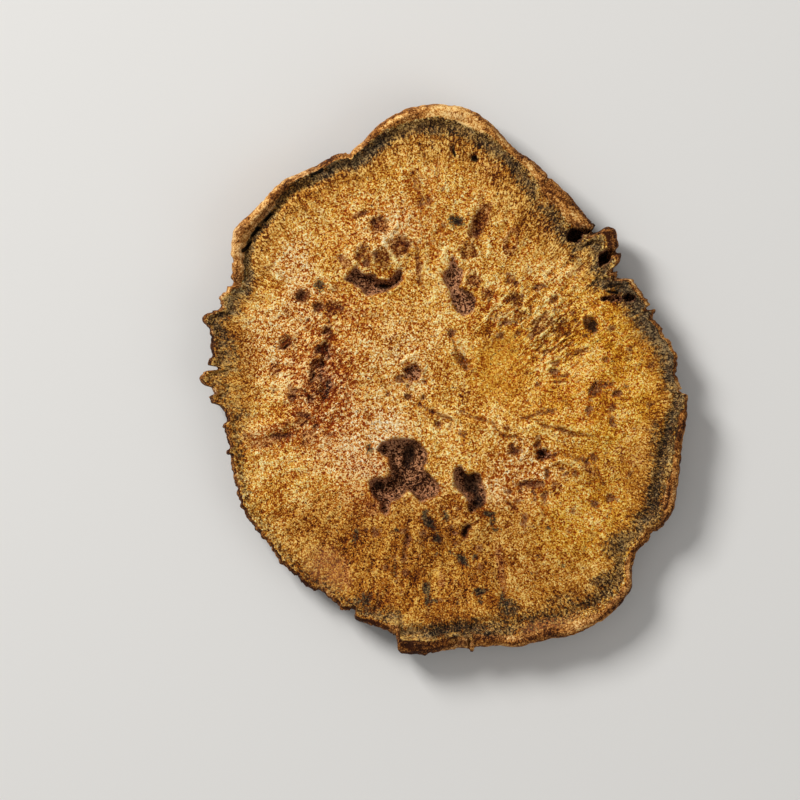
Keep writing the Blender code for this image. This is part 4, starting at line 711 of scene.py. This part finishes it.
def looks_of(x, y, bearing, inside, cut_face):
    """The strength of each of the slice's markings at points, for its material."""
    tx, ty = torn(x, y)
    inset, half, darkness = (round_the_slice(CAMBIUM, bearing, column) for column in (1, 2, 3))
    inset = inset + 0.22 * waves(x / 1.6, y / 1.6, 71) + 0.1 * waves(x / 0.6, y / 0.6, 72)
    bark_edge = np.maximum(inset - half, LEAST_BARK)
    ray_length, plain = (round_the_slice(RAY_REACH, bearing, column) for column in (1, 2))
    ray_depth = (inside - inset) / ray_length
    looks = {name: strength_of(x, y, spots) for name, spots in AREAS.items()}
    line = np.clip(0.5 + 0.5 * (1 - np.abs(inside - inset) / half), 0, 1)
    looks["cambium"] = np.maximum(darkness * line, looks.pop("bruise"))
    looks["grey"] = looks["cambium"] * round_the_slice(GREYNESS, bearing)
    looks["bark"] = np.clip(0.5 + (bark_edge - inside) / 0.7, 0, 1)
    looks["ray"] = plain * np.clip(1.15 - ray_depth, 0, 1) * ease((inside - inset) / 0.8 + 0.5)
    tone_waves = waves(np.radians(bearing) * 8, inside / 0.45, 73)
    warmth_waves = waves(np.radians(bearing) * 12, inside / 0.9, 74)
    looks["bark_tone"] = round_the_slice(BARK_TONE, bearing) + 0.3 * tone_waves
    looks["bark_warmth"] = np.clip(round_the_slice(BARK_WARMTH, bearing) + 0.5 * warmth_waves, 0, 1)
    # Painted shade: a dark line in the gap where the bark has come away from the flesh.
    looks["gap_shade"] = round_the_slice(GAP_SHADE, bearing) * np.clip(1 - np.abs(inside - bark_edge) / 0.3, 0, 1)
    for name in ("pit", "pit_light", "spot", "pit_shade", "fleck", "crack_shade", "furrow", "star", "star_x", "star_y"):
        looks[name] = np.zeros_like(x)
    looks["high"] = np.full_like(x, 0.5)
    if not cut_face:
        return looks

    def mark(name, strength):
        looks[name] = np.maximum(looks[name], strength)

    # Painted light and shade: the flesh's level rises where the small relief stands up and falls in its
    # hollows, so ridges show paler and dents darker.
    looks["high"] = np.clip(0.5 + small_relief(x, y) / 0.7, 0, 1)
    for width, brown, points in FURROWS:
        mark("furrow", brown * np.clip(1.15 - from_crack(x, y, points) / (1.7 * width), 0, 1))
    # Painted shadow: the deepest places in the pits are coloured near black.
    for *hole, _ in DEEPEST_AND_SHADED:
        mark("pit_shade", np.clip(0.5 + 1.2 * lobe_share(tx, ty, hole), 0, 1))
    for _, brown, lobes in PITS.values():
        deepest = np.max([lobe_share(tx, ty, lobe) for lobe in lobes], axis=0)
        mark("pit", brown * np.clip(0.5 + (deepest + 0.1) * 1.6, 0, 1))
    for _, light, corners in TORN_PITS.values():
        depth_in = within(x, y, corners)
        mark("pit", np.clip(0.55 + depth_in / 0.8, 0, 1))
        looks["pit_light"] = np.where(depth_in > -0.5, light, looks["pit_light"])
    for *dent, _, brown in DENTS:
        mark("spot", brown * np.clip(0.55 + 0.9 * lobe_share(tx, ty, dent), 0, 1))
    for *ring, _, red in RINGS:
        mark("rust", red * np.clip(1 - np.abs(lobe_share(tx, ty, ring)) / 0.45, 0, 1))
    for *fleck, strength in FLECKS:
        mark("fleck", strength * np.clip(0.55 + 0.6 * lobe_share(tx, ty, fleck), 0, 1))
    # Painted shade: the cracks are coloured near black along their length.
    for width, _, dark, points in CRACKS:
        mark("crack_shade", dark * np.clip(1 - from_crack(x, y, points) / (2 * width), 0, 1))
    nearest = np.full_like(x, -1.0)
    for *star, strength in STARS:
        share = lobe_share(x, y, star)
        nearer = share > nearest
        looks["star"] = np.where(nearer, strength * np.clip(0.5 + 1.2 * share, 0, 1), looks["star"])
        looks["star_x"] = np.where(nearer, (x - star[0]) / star[2], looks["star_x"])
        looks["star_y"] = np.where(nearer, (y - star[1]) / star[3], looks["star_y"])
        nearest = np.maximum(nearest, share)
    return looks


def closed_web(outer, inner):
    """Triangles between two loops of points that run the same way, the inner with as many points or half."""
    after_in = np.roll(inner, -1)
    if len(outer) == len(inner):
        after_out = np.roll(outer, -1)
        corners = [(outer, after_out, inner), (after_out, after_in, inner)]
    else:
        even, odd, after_even = outer[::2], outer[1::2], np.roll(outer[::2], -1)
        corners = [(even, odd, inner), (odd, after_in, inner), (odd, after_even, after_in)]
    return np.vstack([np.column_stack(three) for three in corners])


def even_bearings():
    """Bearings for the rim's points: evenly along the outline, and closer where it is ragged."""
    turn = np.radians(ROUND_BEARINGS)
    x, y = ROUND_REACHES * np.cos(turn), ROUND_REACHES * np.sin(turn)
    closeness = 0.85 + 2 * round_the_slice(RAGGEDNESS, FINE_BEARINGS)
    run = np.concatenate([[0], np.cumsum(np.hypot(np.diff(x), np.diff(y)) * closeness)])
    return np.interp(np.arange(RIM_POINTS) * run[-1] / RIM_POINTS, run, ROUND_BEARINGS)


def rings_inwards(bearings, edge, spacing):
    """Loops of points from an edge to the middle, ragged as the edge at first and calmer further in."""
    calm = smooth_outline(bearings) - (smooth_outline(bearings) - edge).mean()
    mean_reach = calm.mean()
    rings, every = [], 1
    for number in range(1, int(mean_reach / spacing)):
        step_in = number * spacing
        still_ragged = max(0.0, 1 - step_in / RAGGED_REACH) ** 2
        radius = calm * (1 - step_in / mean_reach) + (edge - calm) * still_ragged
        apart = 2 * math.pi * radius.mean() * every / len(bearings)
        if (len(bearings) // every) % 2 == 0 and apart < CLOSEST_POINTS * spacing:
            every *= 2
        turn = np.radians(bearings[::every])
        rings.append(np.column_stack([radius[::every] * np.cos(turn), radius[::every] * np.sin(turn)]))
    return rings


bearings = even_bearings()
turn = np.radians(bearings)
direction = np.column_stack([np.cos(turn), np.sin(turn)])
reach = reach_at(bearings)
shoulder = round_the_slice(SHOULDER, bearings)

# The rim, from the cut face's edge down to the underside's.
top_edge = (reach - shoulder)[:, None] * direction
low_edge = (reach - UNDERSIDE_INSET)[:, None] * direction
top_z = face_height(top_edge[:, 0], top_edge[:, 1])
low_z = underside_height(low_edge[:, 0], low_edge[:, 1])
edge_x, edge_y = reach * direction[:, 0], reach * direction[:, 1]
last_step = len(RIM_PROFILE) - 1
points, loops, downs = [], [], []


def add_loop(xy, z, down):
    """Keeps a loop of points, and how far down they are: 0 on the cut face, to 1 down the rim, 2 below."""
    first = sum(len(p) for p in points)
    points.append(np.column_stack([xy, z]))
    downs.append(np.full(len(xy), float(down)))
    loops.append(np.arange(first, first + len(xy)))


for step in np.linspace(0, last_step, SHOULDER_ROWS * last_step + 1):
    shares = [np.interp(step, range(len(RIM_PROFILE)), [row[i] for row in RIM_PROFILE]) for i in range(3)]
    inset = shares[0] * shoulder + shares[1] * UNDERSIDE_INSET
    wrinkle = BARK_WRINKLE * waves(edge_x / 1.4, edge_y / 1.4 + (step - 1) * 0.45, 41)
    furrow = np.minimum(waves(edge_x / 0.7, edge_y / 0.7 + step * 0.3, 42), 0.3) * BARK_FURROW
    inner = 0 < step < last_step
    out = reach - inset + inner * (wrinkle * min(1.0, 3 * (shares[0] + shares[1])) + furrow - 0.03)
    add_loop(out[:, None] * direction, low_z + (top_z - low_z) * shares[2], step / last_step)

faces = [closed_web(above, below)[:, ::-1] for above, below in zip(loops, loops[1:])]
hem = loops[-1]

# The cut face and the underside, each in rings to one point in the middle.
for edge, spacing, height, down in ((reach - shoulder, FACE_RING, face_height, 0),
                                    (reach - UNDERSIDE_INSET, UNDERSIDE_RING, underside_height, 2)):
    last = loops[0] if down == 0 else hem
    for ring in rings_inwards(bearings, edge, spacing):
        x, y = ring[:, 0], ring[:, 1]
        z = height(x, y)
        if down == 2:
            # Shallow dents only, so that the flat spot still lies on the table.
            _, inside = from_edge(x, y)
            rough = 0.06 * waves(x / 1.1, y / 1.1, 81) + 0.12 * waves(x / 3.2, y / 3.2, 82)
            z = z + np.maximum(rough, 0.0) * ease(inside / 2)
        add_loop(ring, z, down)
        web = closed_web(last, loops[-1])
        faces.append(web if down == 0 else web[:, ::-1])
        last = loops[-1]
    middle = np.zeros((1, 2))
    add_loop(middle, height(middle[:, 0], middle[:, 1]), down)
    after = np.roll(last, -1)
    fan = np.column_stack([last, after, np.full(len(last), loops[-1][0])])
    faces.append(fan if down == 0 else fan[:, ::-1])

points, downs, faces = np.vstack(points), np.concatenate(downs), np.vstack(faces)
box_middle = (points[:, :2].min(axis=0) + points[:, :2].max(axis=0)) / 2
mesh = bpy.data.meshes.new("dried_slice")
shifted = points.copy()
shifted[:, :2] -= box_middle
mesh.from_pydata((shifted * MM).tolist(), [], faces.tolist())
mesh.validate()
mesh.shade_smooth()

x, y = points[:, 0], points[:, 1]
bearing, inside = from_edge(x, y)
looks = looks_of(x, y, bearing, inside, True)
below = looks_of(x, y, bearing, inside, False)
on_rim = (downs > 0) & (downs <= 1)
for name in looks:
    plain_rim = on_rim & (name not in ("bark_tone", "bark_warmth"))
    looks[name] = np.where(downs == 0, looks[name], np.where(plain_rim, 0.0, below[name]))
looks["bark"] = np.where(on_rim, 1.0, looks["bark"])
# The rim's sides turn dark brown below the shoulder: partly the bark's own darker outer skin, partly painted
# shade on the sides that slope away.
looks["skin_and_shade"] = np.where(on_rim, ease((downs - 0.3) / 0.4), 0.0)
looks["high"] = np.where(on_rim, 0.5, looks["high"])
for name, values in looks.items():
    mesh.attributes.new(name, "FLOAT", "POINT").data.foreach_set("value", values.astype(np.float32))

root = bpy.data.objects.new("dried_slice", mesh)
bpy.context.scene.collection.objects.link(root)
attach(root, "root")
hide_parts("root_slice")


# The root slice's material.
# Rhubarb root flesh, cut with a knife and air-dried: matt starchy granules, cream to gold, in a net of
# orange-brown tissue, with rays that run out to a grey-green cambium line and a thin brown bark.

def linear(hex_colour):
    """An sRGB hex colour as the linear colour that Blender takes."""
    shares = [int(hex_colour[i:i + 2], 16) / 255 for i in (1, 3, 5)]
    return (*[s / 12.92 if s <= 0.04045 else ((s + 0.055) / 1.055) ** 2.4 for s in shares], 1.0)


def add(tree, kind, inputs=(), ramp=None, **settings):
    """Adds a node: its inputs are constants or nodes' outputs, and a ramp is (place, hex colour) pairs."""
    made = tree.nodes.new(kind)
    for name, value in settings.items():
        setattr(made, name, value)
    for socket, value in dict(inputs).items():
        if isinstance(value, bpy.types.NodeSocket):
            tree.links.new(value, made.inputs[socket])
        else:
            made.inputs[socket].default_value = linear(value) if isinstance(value, str) else value
    if ramp:
        stops = made.color_ramp.elements
        while len(stops) < len(ramp):
            stops.new(1.0)
        for stop, (place, hex_colour) in zip(stops, ramp):
            stop.position, stop.color = place, linear(hex_colour)
    return made


def ragged(tree, mask, pattern, at, spread, crisp):
    """A mask cut off at a level, which a pattern makes uneven: 1 where the mask is well above it."""
    shift = {0: pattern, 1: spread, 2: -0.5 * spread - at}
    uneven = add(tree, "ShaderNodeMath", shift, operation="MULTIPLY_ADD").outputs[0]
    total = add(tree, "ShaderNodeMath", {0: mask, 1: uneven}, operation="ADD").outputs[0]
    cut = {0: total, 1: crisp, 2: 0.5}
    return add(tree, "ShaderNodeMath", cut, operation="MULTIPLY_ADD", use_clamp=True).outputs[0]


dried_root = bpy.data.materials.new("dried_rhubarb_root")
dried_root.use_nodes = True
tree = dried_root.node_tree
tree.nodes.clear()
look = {name: add(tree, "ShaderNodeAttribute", attribute_name=name).outputs["Fac"] for name in looks}
object_place = add(tree, "ShaderNodeTexCoord").outputs["Object"]
place = add(tree, "ShaderNodeVectorMath", {0: object_place, 3: 1000.0}, operation="SCALE").outputs[0]

elsewhere = add(tree, "ShaderNodeVectorMath", {0: place, 1: (31.0, 17.0, 5.0)}, operation="ADD").outputs[0]


def noise(spot, size, detail, roughness, distortion=0.0):
    """A noise pattern with bumps of a size in millimetres."""
    settings = {"Vector": spot, "Scale": 1 / size, "Detail": detail, "Roughness": roughness}
    return add(tree, "ShaderNodeTexNoise", settings | {"Distortion": distortion}).outputs[0]


# The grain of dried starch: crumbs about 0.3 mm apart with sharp edges, dust of 0.16 mm on them, and lumps
# and clouds of tissue. The patches of another hue are as large as the crumbs.
grain = noise(place, 0.16, 1.0, 0.5, 0.6)
soft_crumbs = noise(place, 0.29, 1.5, 0.5, 0.9)
sharp = {0: soft_crumbs, 1: 0.38, 2: 0.62}
crumbs = add(tree, "ShaderNodeMapRange", sharp, interpolation_type="SMOOTHSTEP").outputs[0]
lumps = noise(place, 0.75, 2.0, 0.6)
clouds = noise(place, 3.4, 2.0, 0.6)
hues = noise(elsewhere, 0.32, 1.0, 0.6)

# The rays: patterns stretched out along lines from the root's middle. The fine ones are about 0.2 mm apart
# at the rim and 0.45 mm long, and the wide ones 0.8 mm apart and 4 mm long.
middle = [RAY_CENTRE[0] - box_middle[0], RAY_CENTRE[1] - box_middle[1], 0.0]
from_middle = add(tree, "ShaderNodeVectorMath", {0: place, 1: middle}, operation="SUBTRACT").outputs[0]
flat = add(tree, "ShaderNodeVectorMath", {0: from_middle, 1: (1.0, 1.0, 0.0)}, operation="MULTIPLY").outputs[0]
heading = add(tree, "ShaderNodeVectorMath", {0: flat}, operation="NORMALIZE").outputs[0]
distance = add(tree, "ShaderNodeVectorMath", {0: flat}, operation="LENGTH").outputs["Value"]
streaks = []
for in_a_radian, in_a_millimetre in ((135.0, 2.2), (36.0, 0.25)):
    around = add(tree, "ShaderNodeVectorMath", {0: heading, 3: in_a_radian}, operation="SCALE").outputs[0]
    along = add(tree, "ShaderNodeMath", {0: distance, 1: in_a_millimetre}, operation="MULTIPLY").outputs[0]
    lifted = add(tree, "ShaderNodeCombineXYZ", {2: along}).outputs[0]
    line = add(tree, "ShaderNodeVectorMath", {0: around, 1: lifted}, operation="ADD").outputs[0]
    streaks.append(noise(line, 1.0, 1.0, 0.55))
soft_dashes, wide_rays = streaks
sharp = {0: soft_dashes, 1: 0.38, 2: 0.62}
dashes = add(tree, "ShaderNodeMapRange", sharp, interpolation_type="SMOOTHSTEP").outputs[0]
ray_share = {0: look["ray"], 1: 1.2}
in_rays = add(tree, "ShaderNodeMath", ray_share, operation="MULTIPLY", use_clamp=True).outputs[0]

# Wrinkles: long dark furrows between paler strings of tissue, about 1.4 mm long and 0.45 mm across, where
# the flesh shrank across its strands.
slant = {"Vector": place, "Angle": math.radians(-40)}
turned = add(tree, "ShaderNodeVectorRotate", slant, rotation_type="Z_AXIS").outputs[0]
stretch = {0: turned, 1: (0.7, 2.2, 1.0)}
drawn_out = add(tree, "ShaderNodeVectorMath", stretch, operation="MULTIPLY").outputs[0]
strings = noise(drawn_out, 1.0, 1.0, 0.5, 0.8)
centred = add(tree, "ShaderNodeMath", {0: strings, 1: 0.5}, operation="SUBTRACT").outputs[0]
away = add(tree, "ShaderNodeMath", {0: centred}, operation="ABSOLUTE").outputs[0]
furrowed = add(tree, "ShaderNodeMath", {0: away, 1: 5.0}, operation="MULTIPLY", use_clamp=True).outputs[0]


def mixed(share, first, second):
    """One pattern or level that turns into another as the share rises."""
    return add(tree, "ShaderNodeMix", {0: share, 2: first, 3: second}, data_type="FLOAT").outputs[0]


# Where each pattern shows: dashes in the rays, livelier grain where the flesh is cream, and folds along the
# rays where it is streaky.
flesh_grain = mixed(in_rays, crumbs, dashes)
lively = mixed(look["cream"], 0.5, flesh_grain)
folds = mixed(look["streaky"], clouds, wide_rays)
wrinkles = mixed(look["wrinkled"], 0.5, furrowed)

# How light the tissue is at a point, 0.5 on average. One grain runs through flesh, pits and cambium, and the
# bark's is softer. The flesh also takes painted light and shade from its small relief: lighter on ridges,
# darker in hollows.
levels = {}
for name, patterns in {
    "flesh": ((flesh_grain, 0.6), (grain, 2.1), (lively, 0.25), (lumps, 0.4), (clouds, 0.6), (folds, 0.6),
              (wrinkles, 0.8), (look["high"], 0.9)),
    "bark": ((crumbs, 0.35), (grain, 1.6), (lumps, 1.2), (clouds, 0.8), (look["bark_tone"], 1.3)),
}.items():
    level = 0.5 - sum(share for _, share in patterns) / 2
    for pattern, share in patterns:
        summed = {0: pattern, 1: share, 2: level}
        level = add(tree, "ShaderNodeMath", summed, operation="MULTIPLY_ADD").outputs[0]
    levels[name] = level
flatter = {0: levels["flesh"], 1: 0.6, 2: 0.2}
calmer = add(tree, "ShaderNodeMath", flatter, operation="MULTIPLY_ADD").outputs[0]
levels["flesh"] = mixed(look["smooth"], levels["flesh"], calmer)
steeper = {0: levels["flesh"], 1: 2.2, 2: -0.62}
crumbly = add(tree, "ShaderNodeMath", steeper, operation="MULTIPLY_ADD").outputs[0]
levels["pit"] = add(tree, "ShaderNodeMath", {0: crumbly, 1: look["pit_light"]}, operation="ADD").outputs[0]

# The colours of each tissue, from the darkest to the lightest, by the level that they follow.
colours = {}
for name, level, ramp in (
    ("plain", "flesh", [(0.0, "#7a3000"), (0.2, "#ac5c08"), (0.4, "#d48e2a"), (0.6, "#ecb24a"),
                        (0.8, "#fad672"), (1.0, "#fff4b4")]),
    ("cream", "flesh", [(0.0, "#8c3000"), (0.2, "#bc6408"), (0.4, "#e09c40"), (0.6, "#f2c276"),
                        (0.8, "#fce0a8"), (1.0, "#fffae8")]),
    ("gold", "flesh", [(0.0, "#702e00"), (0.2, "#a25a00"), (0.4, "#ca8416"), (0.6, "#e2a42c"),
                       (0.8, "#f6c84c"), (1.0, "#ffec90")]),
    ("ochre", "flesh", [(0.0, "#301000"), (0.2, "#682c02"), (0.4, "#944e0c"), (0.6, "#b06a1a"),
                        (0.8, "#ca8a28"), (1.0, "#eebe5e")]),
    ("orange", "flesh", [(0.0, "#6a1400"), (0.34, "#ae3802"), (0.52, "#d07216"), (0.7, "#eaa244"),
                         (1.0, "#fedc90")]),
    ("red", "flesh", [(0.0, "#521200"), (0.35, "#8c3004"), (0.6, "#b65c1a"), (0.8, "#de9c50"),
                      (1.0, "#fcdca0")]),
    ("spot", "flesh", [(0.0, "#240c04"), (0.35, "#502412"), (0.7, "#784426"), (1.0, "#ac7448")]),
    ("amber", "flesh", [(0.0, "#301002"), (0.2, "#622e06"), (0.4, "#905010"), (0.6, "#b47020"),
                        (0.8, "#d49434"), (1.0, "#f6c668")]),
    ("pit", "pit", [(0.0, "#120402"), (0.2, "#34160a"), (0.4, "#562a18"), (0.6, "#764228"),
                    (0.8, "#965c3c"), (1.0, "#c48a62")]),
    ("cambium", "flesh", [(0.0, "#120c06"), (0.25, "#2c1e10"), (0.5, "#50381c"), (0.75, "#805a2c"),
                          (1.0, "#be9450")]),
    ("grey", "flesh", [(0.0, "#14100a"), (0.3, "#362e22"), (0.6, "#584c3a"), (1.0, "#8e7e60")]),
    ("grey_bark", "bark", [(0.0, "#28140a"), (0.25, "#5a381e"), (0.5, "#8c5e38"), (0.75, "#b88858"),
                           (1.0, "#e6bc8a")]),
    ("warm_bark", "bark", [(0.0, "#3a1806"), (0.25, "#7a4414"), (0.5, "#b27030"), (0.75, "#dc9e4e"),
                           (1.0, "#fad088")]),
    ("skin_and_shade", "bark", [(0.0, "#160e0a"), (0.3, "#34221a"), (0.6, "#5c3e2c"), (1.0, "#96704c")]),
    ("fleck", "flesh", [(0.0, "#0a0806"), (0.4, "#221c14"), (0.7, "#443828"), (1.0, "#80683c")]),
    ("furrow", "flesh", [(0.0, "#341606"), (0.4, "#683614"), (0.7, "#925a28"), (1.0, "#c49050")]),
    ("rust", "flesh", [(0.0, "#2c0e04"), (0.3, "#64280a"), (0.6, "#98501c"), (1.0, "#dc9a54")]),
):
    colours[name] = add(tree, "ShaderNodeValToRGB", {0: levels[level]}, ramp=ramp).outputs[0]

# The flesh is redder in clouds, and most of all where it is ruddy.
cloudy = {0: look["ruddy"], 1: 0.3, 2: clouds}
reddened = add(tree, "ShaderNodeMath", cloudy, operation="MULTIPLY_ADD").outputs[0]

# Small brown spots, scattered by chance where the flesh is speckled: one in each cell of about 2.2 mm, and
# each of a size of its own.
cells = add(tree, "ShaderNodeTexVoronoi", {"Vector": place, "Scale": 1 / 2.2}, voronoi_dimensions="2D")
chance = add(tree, "ShaderNodeSeparateColor", {0: cells.outputs["Color"]}).outputs[0]
size = add(tree, "ShaderNodeMath", {0: chance, 1: look["speckled"]}, operation="ADD").outputs[0]
shrunk = {0: cells.outputs["Distance"], 1: -2.5, 2: size}
scattered = add(tree, "ShaderNodeMath", shrunk, operation="MULTIPLY_ADD").outputs[0]

# Where each marking shows: what places it, the pattern that frays its edge, the level that it is cut off
# at, how far it frays and how crisp the edge is.
masks = {}
for name, mask, pattern, at, spread, crisp in (
    ("amber", look["ray"], wide_rays, 0.44, 1.5, 2.4), ("orange", reddened, hues, 0.62, 2.2, 4.0),
    ("rust", look["rust"], hues, 0.36, 1.4, 2.4), ("pink", look["pink"], hues, 0.5, 0.8, 2.0),
    ("cambium", look["cambium"], hues, 0.4, 1.2, 3.0), ("grey", look["grey"], lumps, 0.42, 1.4, 2.2),
    ("fleck", look["fleck"], soft_crumbs, 0.46, 1.9, 5.0), ("pit", look["pit"], soft_crumbs, 0.44, 1.2, 6.0),
    ("spot", look["spot"], soft_crumbs, 0.42, 2.4, 6.0), ("red", look["ruddy"], lumps, 0.95, 3.0, 4.0),
    ("furrow", look["furrow"], soft_crumbs, 0.52, 3.2, 5.0),
    ("scattered", scattered, soft_crumbs, 1.4, 1.8, 5.0),
    ("pit_shade", look["pit_shade"], soft_crumbs, 0.52, 2.2, 4.0), ("bark", look["bark"], lumps, 0.5, 0.6, 5.0),
    # The gap at the bark is painted shade.
    ("crack_shade", look["crack_shade"], hues, 0.5, 0.3, 5.0), ("gap_shade", look["gap_shade"], lumps, 0.55, 1.6, 3.0),
    # The rim's dark sides are partly the bark's outer skin and partly painted shade.
    ("skin_and_shade", look["skin_and_shade"], lumps, 0.5, 0.8, 3.0),
):
    masks[name] = ragged(tree, mask, pattern, at, spread, crisp)

# Star spots: brown lines that spread from a point.
star_flat = add(tree, "ShaderNodeCombineXYZ", {0: look["star_x"], 1: look["star_y"]}).outputs[0]
star_heading = add(tree, "ShaderNodeVectorMath", {0: star_flat}, operation="NORMALIZE").outputs[0]
star_around = add(tree, "ShaderNodeVectorMath", {0: star_heading, 3: 2.6}, operation="SCALE").outputs[0]
star_shift = add(tree, "ShaderNodeVectorMath", {0: place, 3: 0.35}, operation="SCALE").outputs[0]
star_line = add(tree, "ShaderNodeVectorMath", {0: star_around, 1: star_shift}, operation="ADD").outputs[0]
star_noise = add(tree, "ShaderNodeTexNoise", {"Vector": star_line, "Scale": 1.4, "Detail": 1.0}).outputs[0]
masks["star"] = ragged(tree, look["star"], star_noise, 0.55, 2.2, 3.0)

barks = {0: look["bark_warmth"], 6: colours["grey_bark"], 7: colours["warm_bark"]}
bark_colour = add(tree, "ShaderNodeMix", barks, data_type="RGBA").outputs[2]

# The markings in the order in which they cover each other: where each shows, how strongly, and its colour.
shown = colours["plain"]
for share, strength, over in (
    (look["cream"], 1.0, colours["cream"]), (look["gold"], 1.0, colours["gold"]),
    (masks["orange"], 0.7, colours["orange"]), (masks["red"], 0.65, colours["red"]),
    (look["ochre"], 1.0, colours["ochre"]), (masks["scattered"], 0.8, colours["spot"]),
    (masks["pink"], 0.45, "#b07048"), (masks["amber"], 0.8, colours["amber"]),
    (masks["star"], 0.7, colours["furrow"]), (masks["rust"], 0.85, colours["rust"]),
    (masks["furrow"], 0.85, colours["furrow"]), (masks["cambium"], 0.95, colours["cambium"]),
    (masks["grey"], 0.65, colours["grey"]), (masks["fleck"], 0.95, colours["fleck"]),
    (masks["spot"], 0.9, colours["spot"]), (masks["pit"], 0.95, colours["pit"]),
    # Painted shadow: near black over the pits' deepest places.
    (masks["pit_shade"], 0.8, "#0e0604"), (masks["bark"], 1.0, bark_colour), (masks["gap_shade"], 0.8, "#1a100a"),
    # Painted shade: near black down the cracks.
    (masks["crack_shade"], 0.95, "#0c0806"), (masks["skin_and_shade"], 0.85, colours["skin_and_shade"]),
):
    part = add(tree, "ShaderNodeMath", {0: share, 1: strength}, operation="MULTIPLY").outputs[0]
    shown = add(tree, "ShaderNodeMix", {0: part, 6: shown, 7: over}, data_type="RGBA").outputs[2]

# Open dry tissue is matt and hardly reflects, so its specular level is far below that of a solid.
relief = {"Height": levels["flesh"], "Strength": 0.5, "Distance": 0.06 * MM}
bump = add(tree, "ShaderNodeBump", relief).outputs[0]
finish = {"Base Color": shown, "Roughness": 0.85, "Normal": bump, "Specular IOR Level": 0.12}
surface = add(tree, "ShaderNodeBsdfPrincipled", finish)
add(tree, "ShaderNodeOutputMaterial", {"Surface": surface.outputs[0]})
mesh.materials.append(dried_root)


# Floor, light and camera.
# A plain pale table top, soft light from the upper left, and a camera straight above the slice.

paper = bpy.data.materials.new("matt_pale_paper")
paper.use_nodes = True
paper_surface = paper.node_tree.nodes["Principled BSDF"]
paper_surface.inputs["Base Color"].default_value = linear("#e4e2de")
paper_surface.inputs["Roughness"].default_value = 0.9

TABLE_HALF = 1.5  # metres
floor_mesh = bpy.data.meshes.new("table_top")
corners = [(TABLE_HALF * x, TABLE_HALF * y, 0) for x, y in ((-1, -1), (1, -1), (1, 1), (-1, 1))]
floor_mesh.from_pydata(corners, [], [(0, 1, 2, 3)])
floor_mesh.materials.append(paper)
floor = bpy.data.objects.new("table_top", floor_mesh)
bpy.context.scene.collection.objects.link(floor)

for name, spot, power, size in (
    ("key", (-0.4, 0.38, 0.44), 4.5, 0.25),
    ("fill", (0.45, -0.25, 0.45), 0.7, 0.5),
):
    lamp = bpy.data.lights.new(name, "AREA")
    lamp.energy, lamp.size = power, size
    held = bpy.data.objects.new(name, lamp)
    held.location = spot
    held.rotation_euler = (-Vector(spot)).to_track_quat("-Z", "Y").to_euler()
    bpy.context.scene.collection.objects.link(held)

world = bpy.data.worlds.new("soft_room")
world.use_nodes = True
world.node_tree.nodes["Background"].inputs[0].default_value = (1.0, 1.0, 1.0, 1.0)
world.node_tree.nodes["Background"].inputs[1].default_value = 0.28
bpy.context.scene.world = world
# Plain display colours, so that the material's hex colours look as they are written.
bpy.context.scene.view_settings.view_transform = "Standard"

lens = bpy.data.cameras.new("above")
lens.sensor_width, lens.lens = 36.0, 348.8
lens.clip_start, lens.clip_end = 0.05, 5.0
camera = bpy.data.objects.new("above", lens)
camera.location = (-0.00508, -0.00232, 0.905)
bpy.context.scene.collection.objects.link(camera)
bpy.context.scene.camera = camera
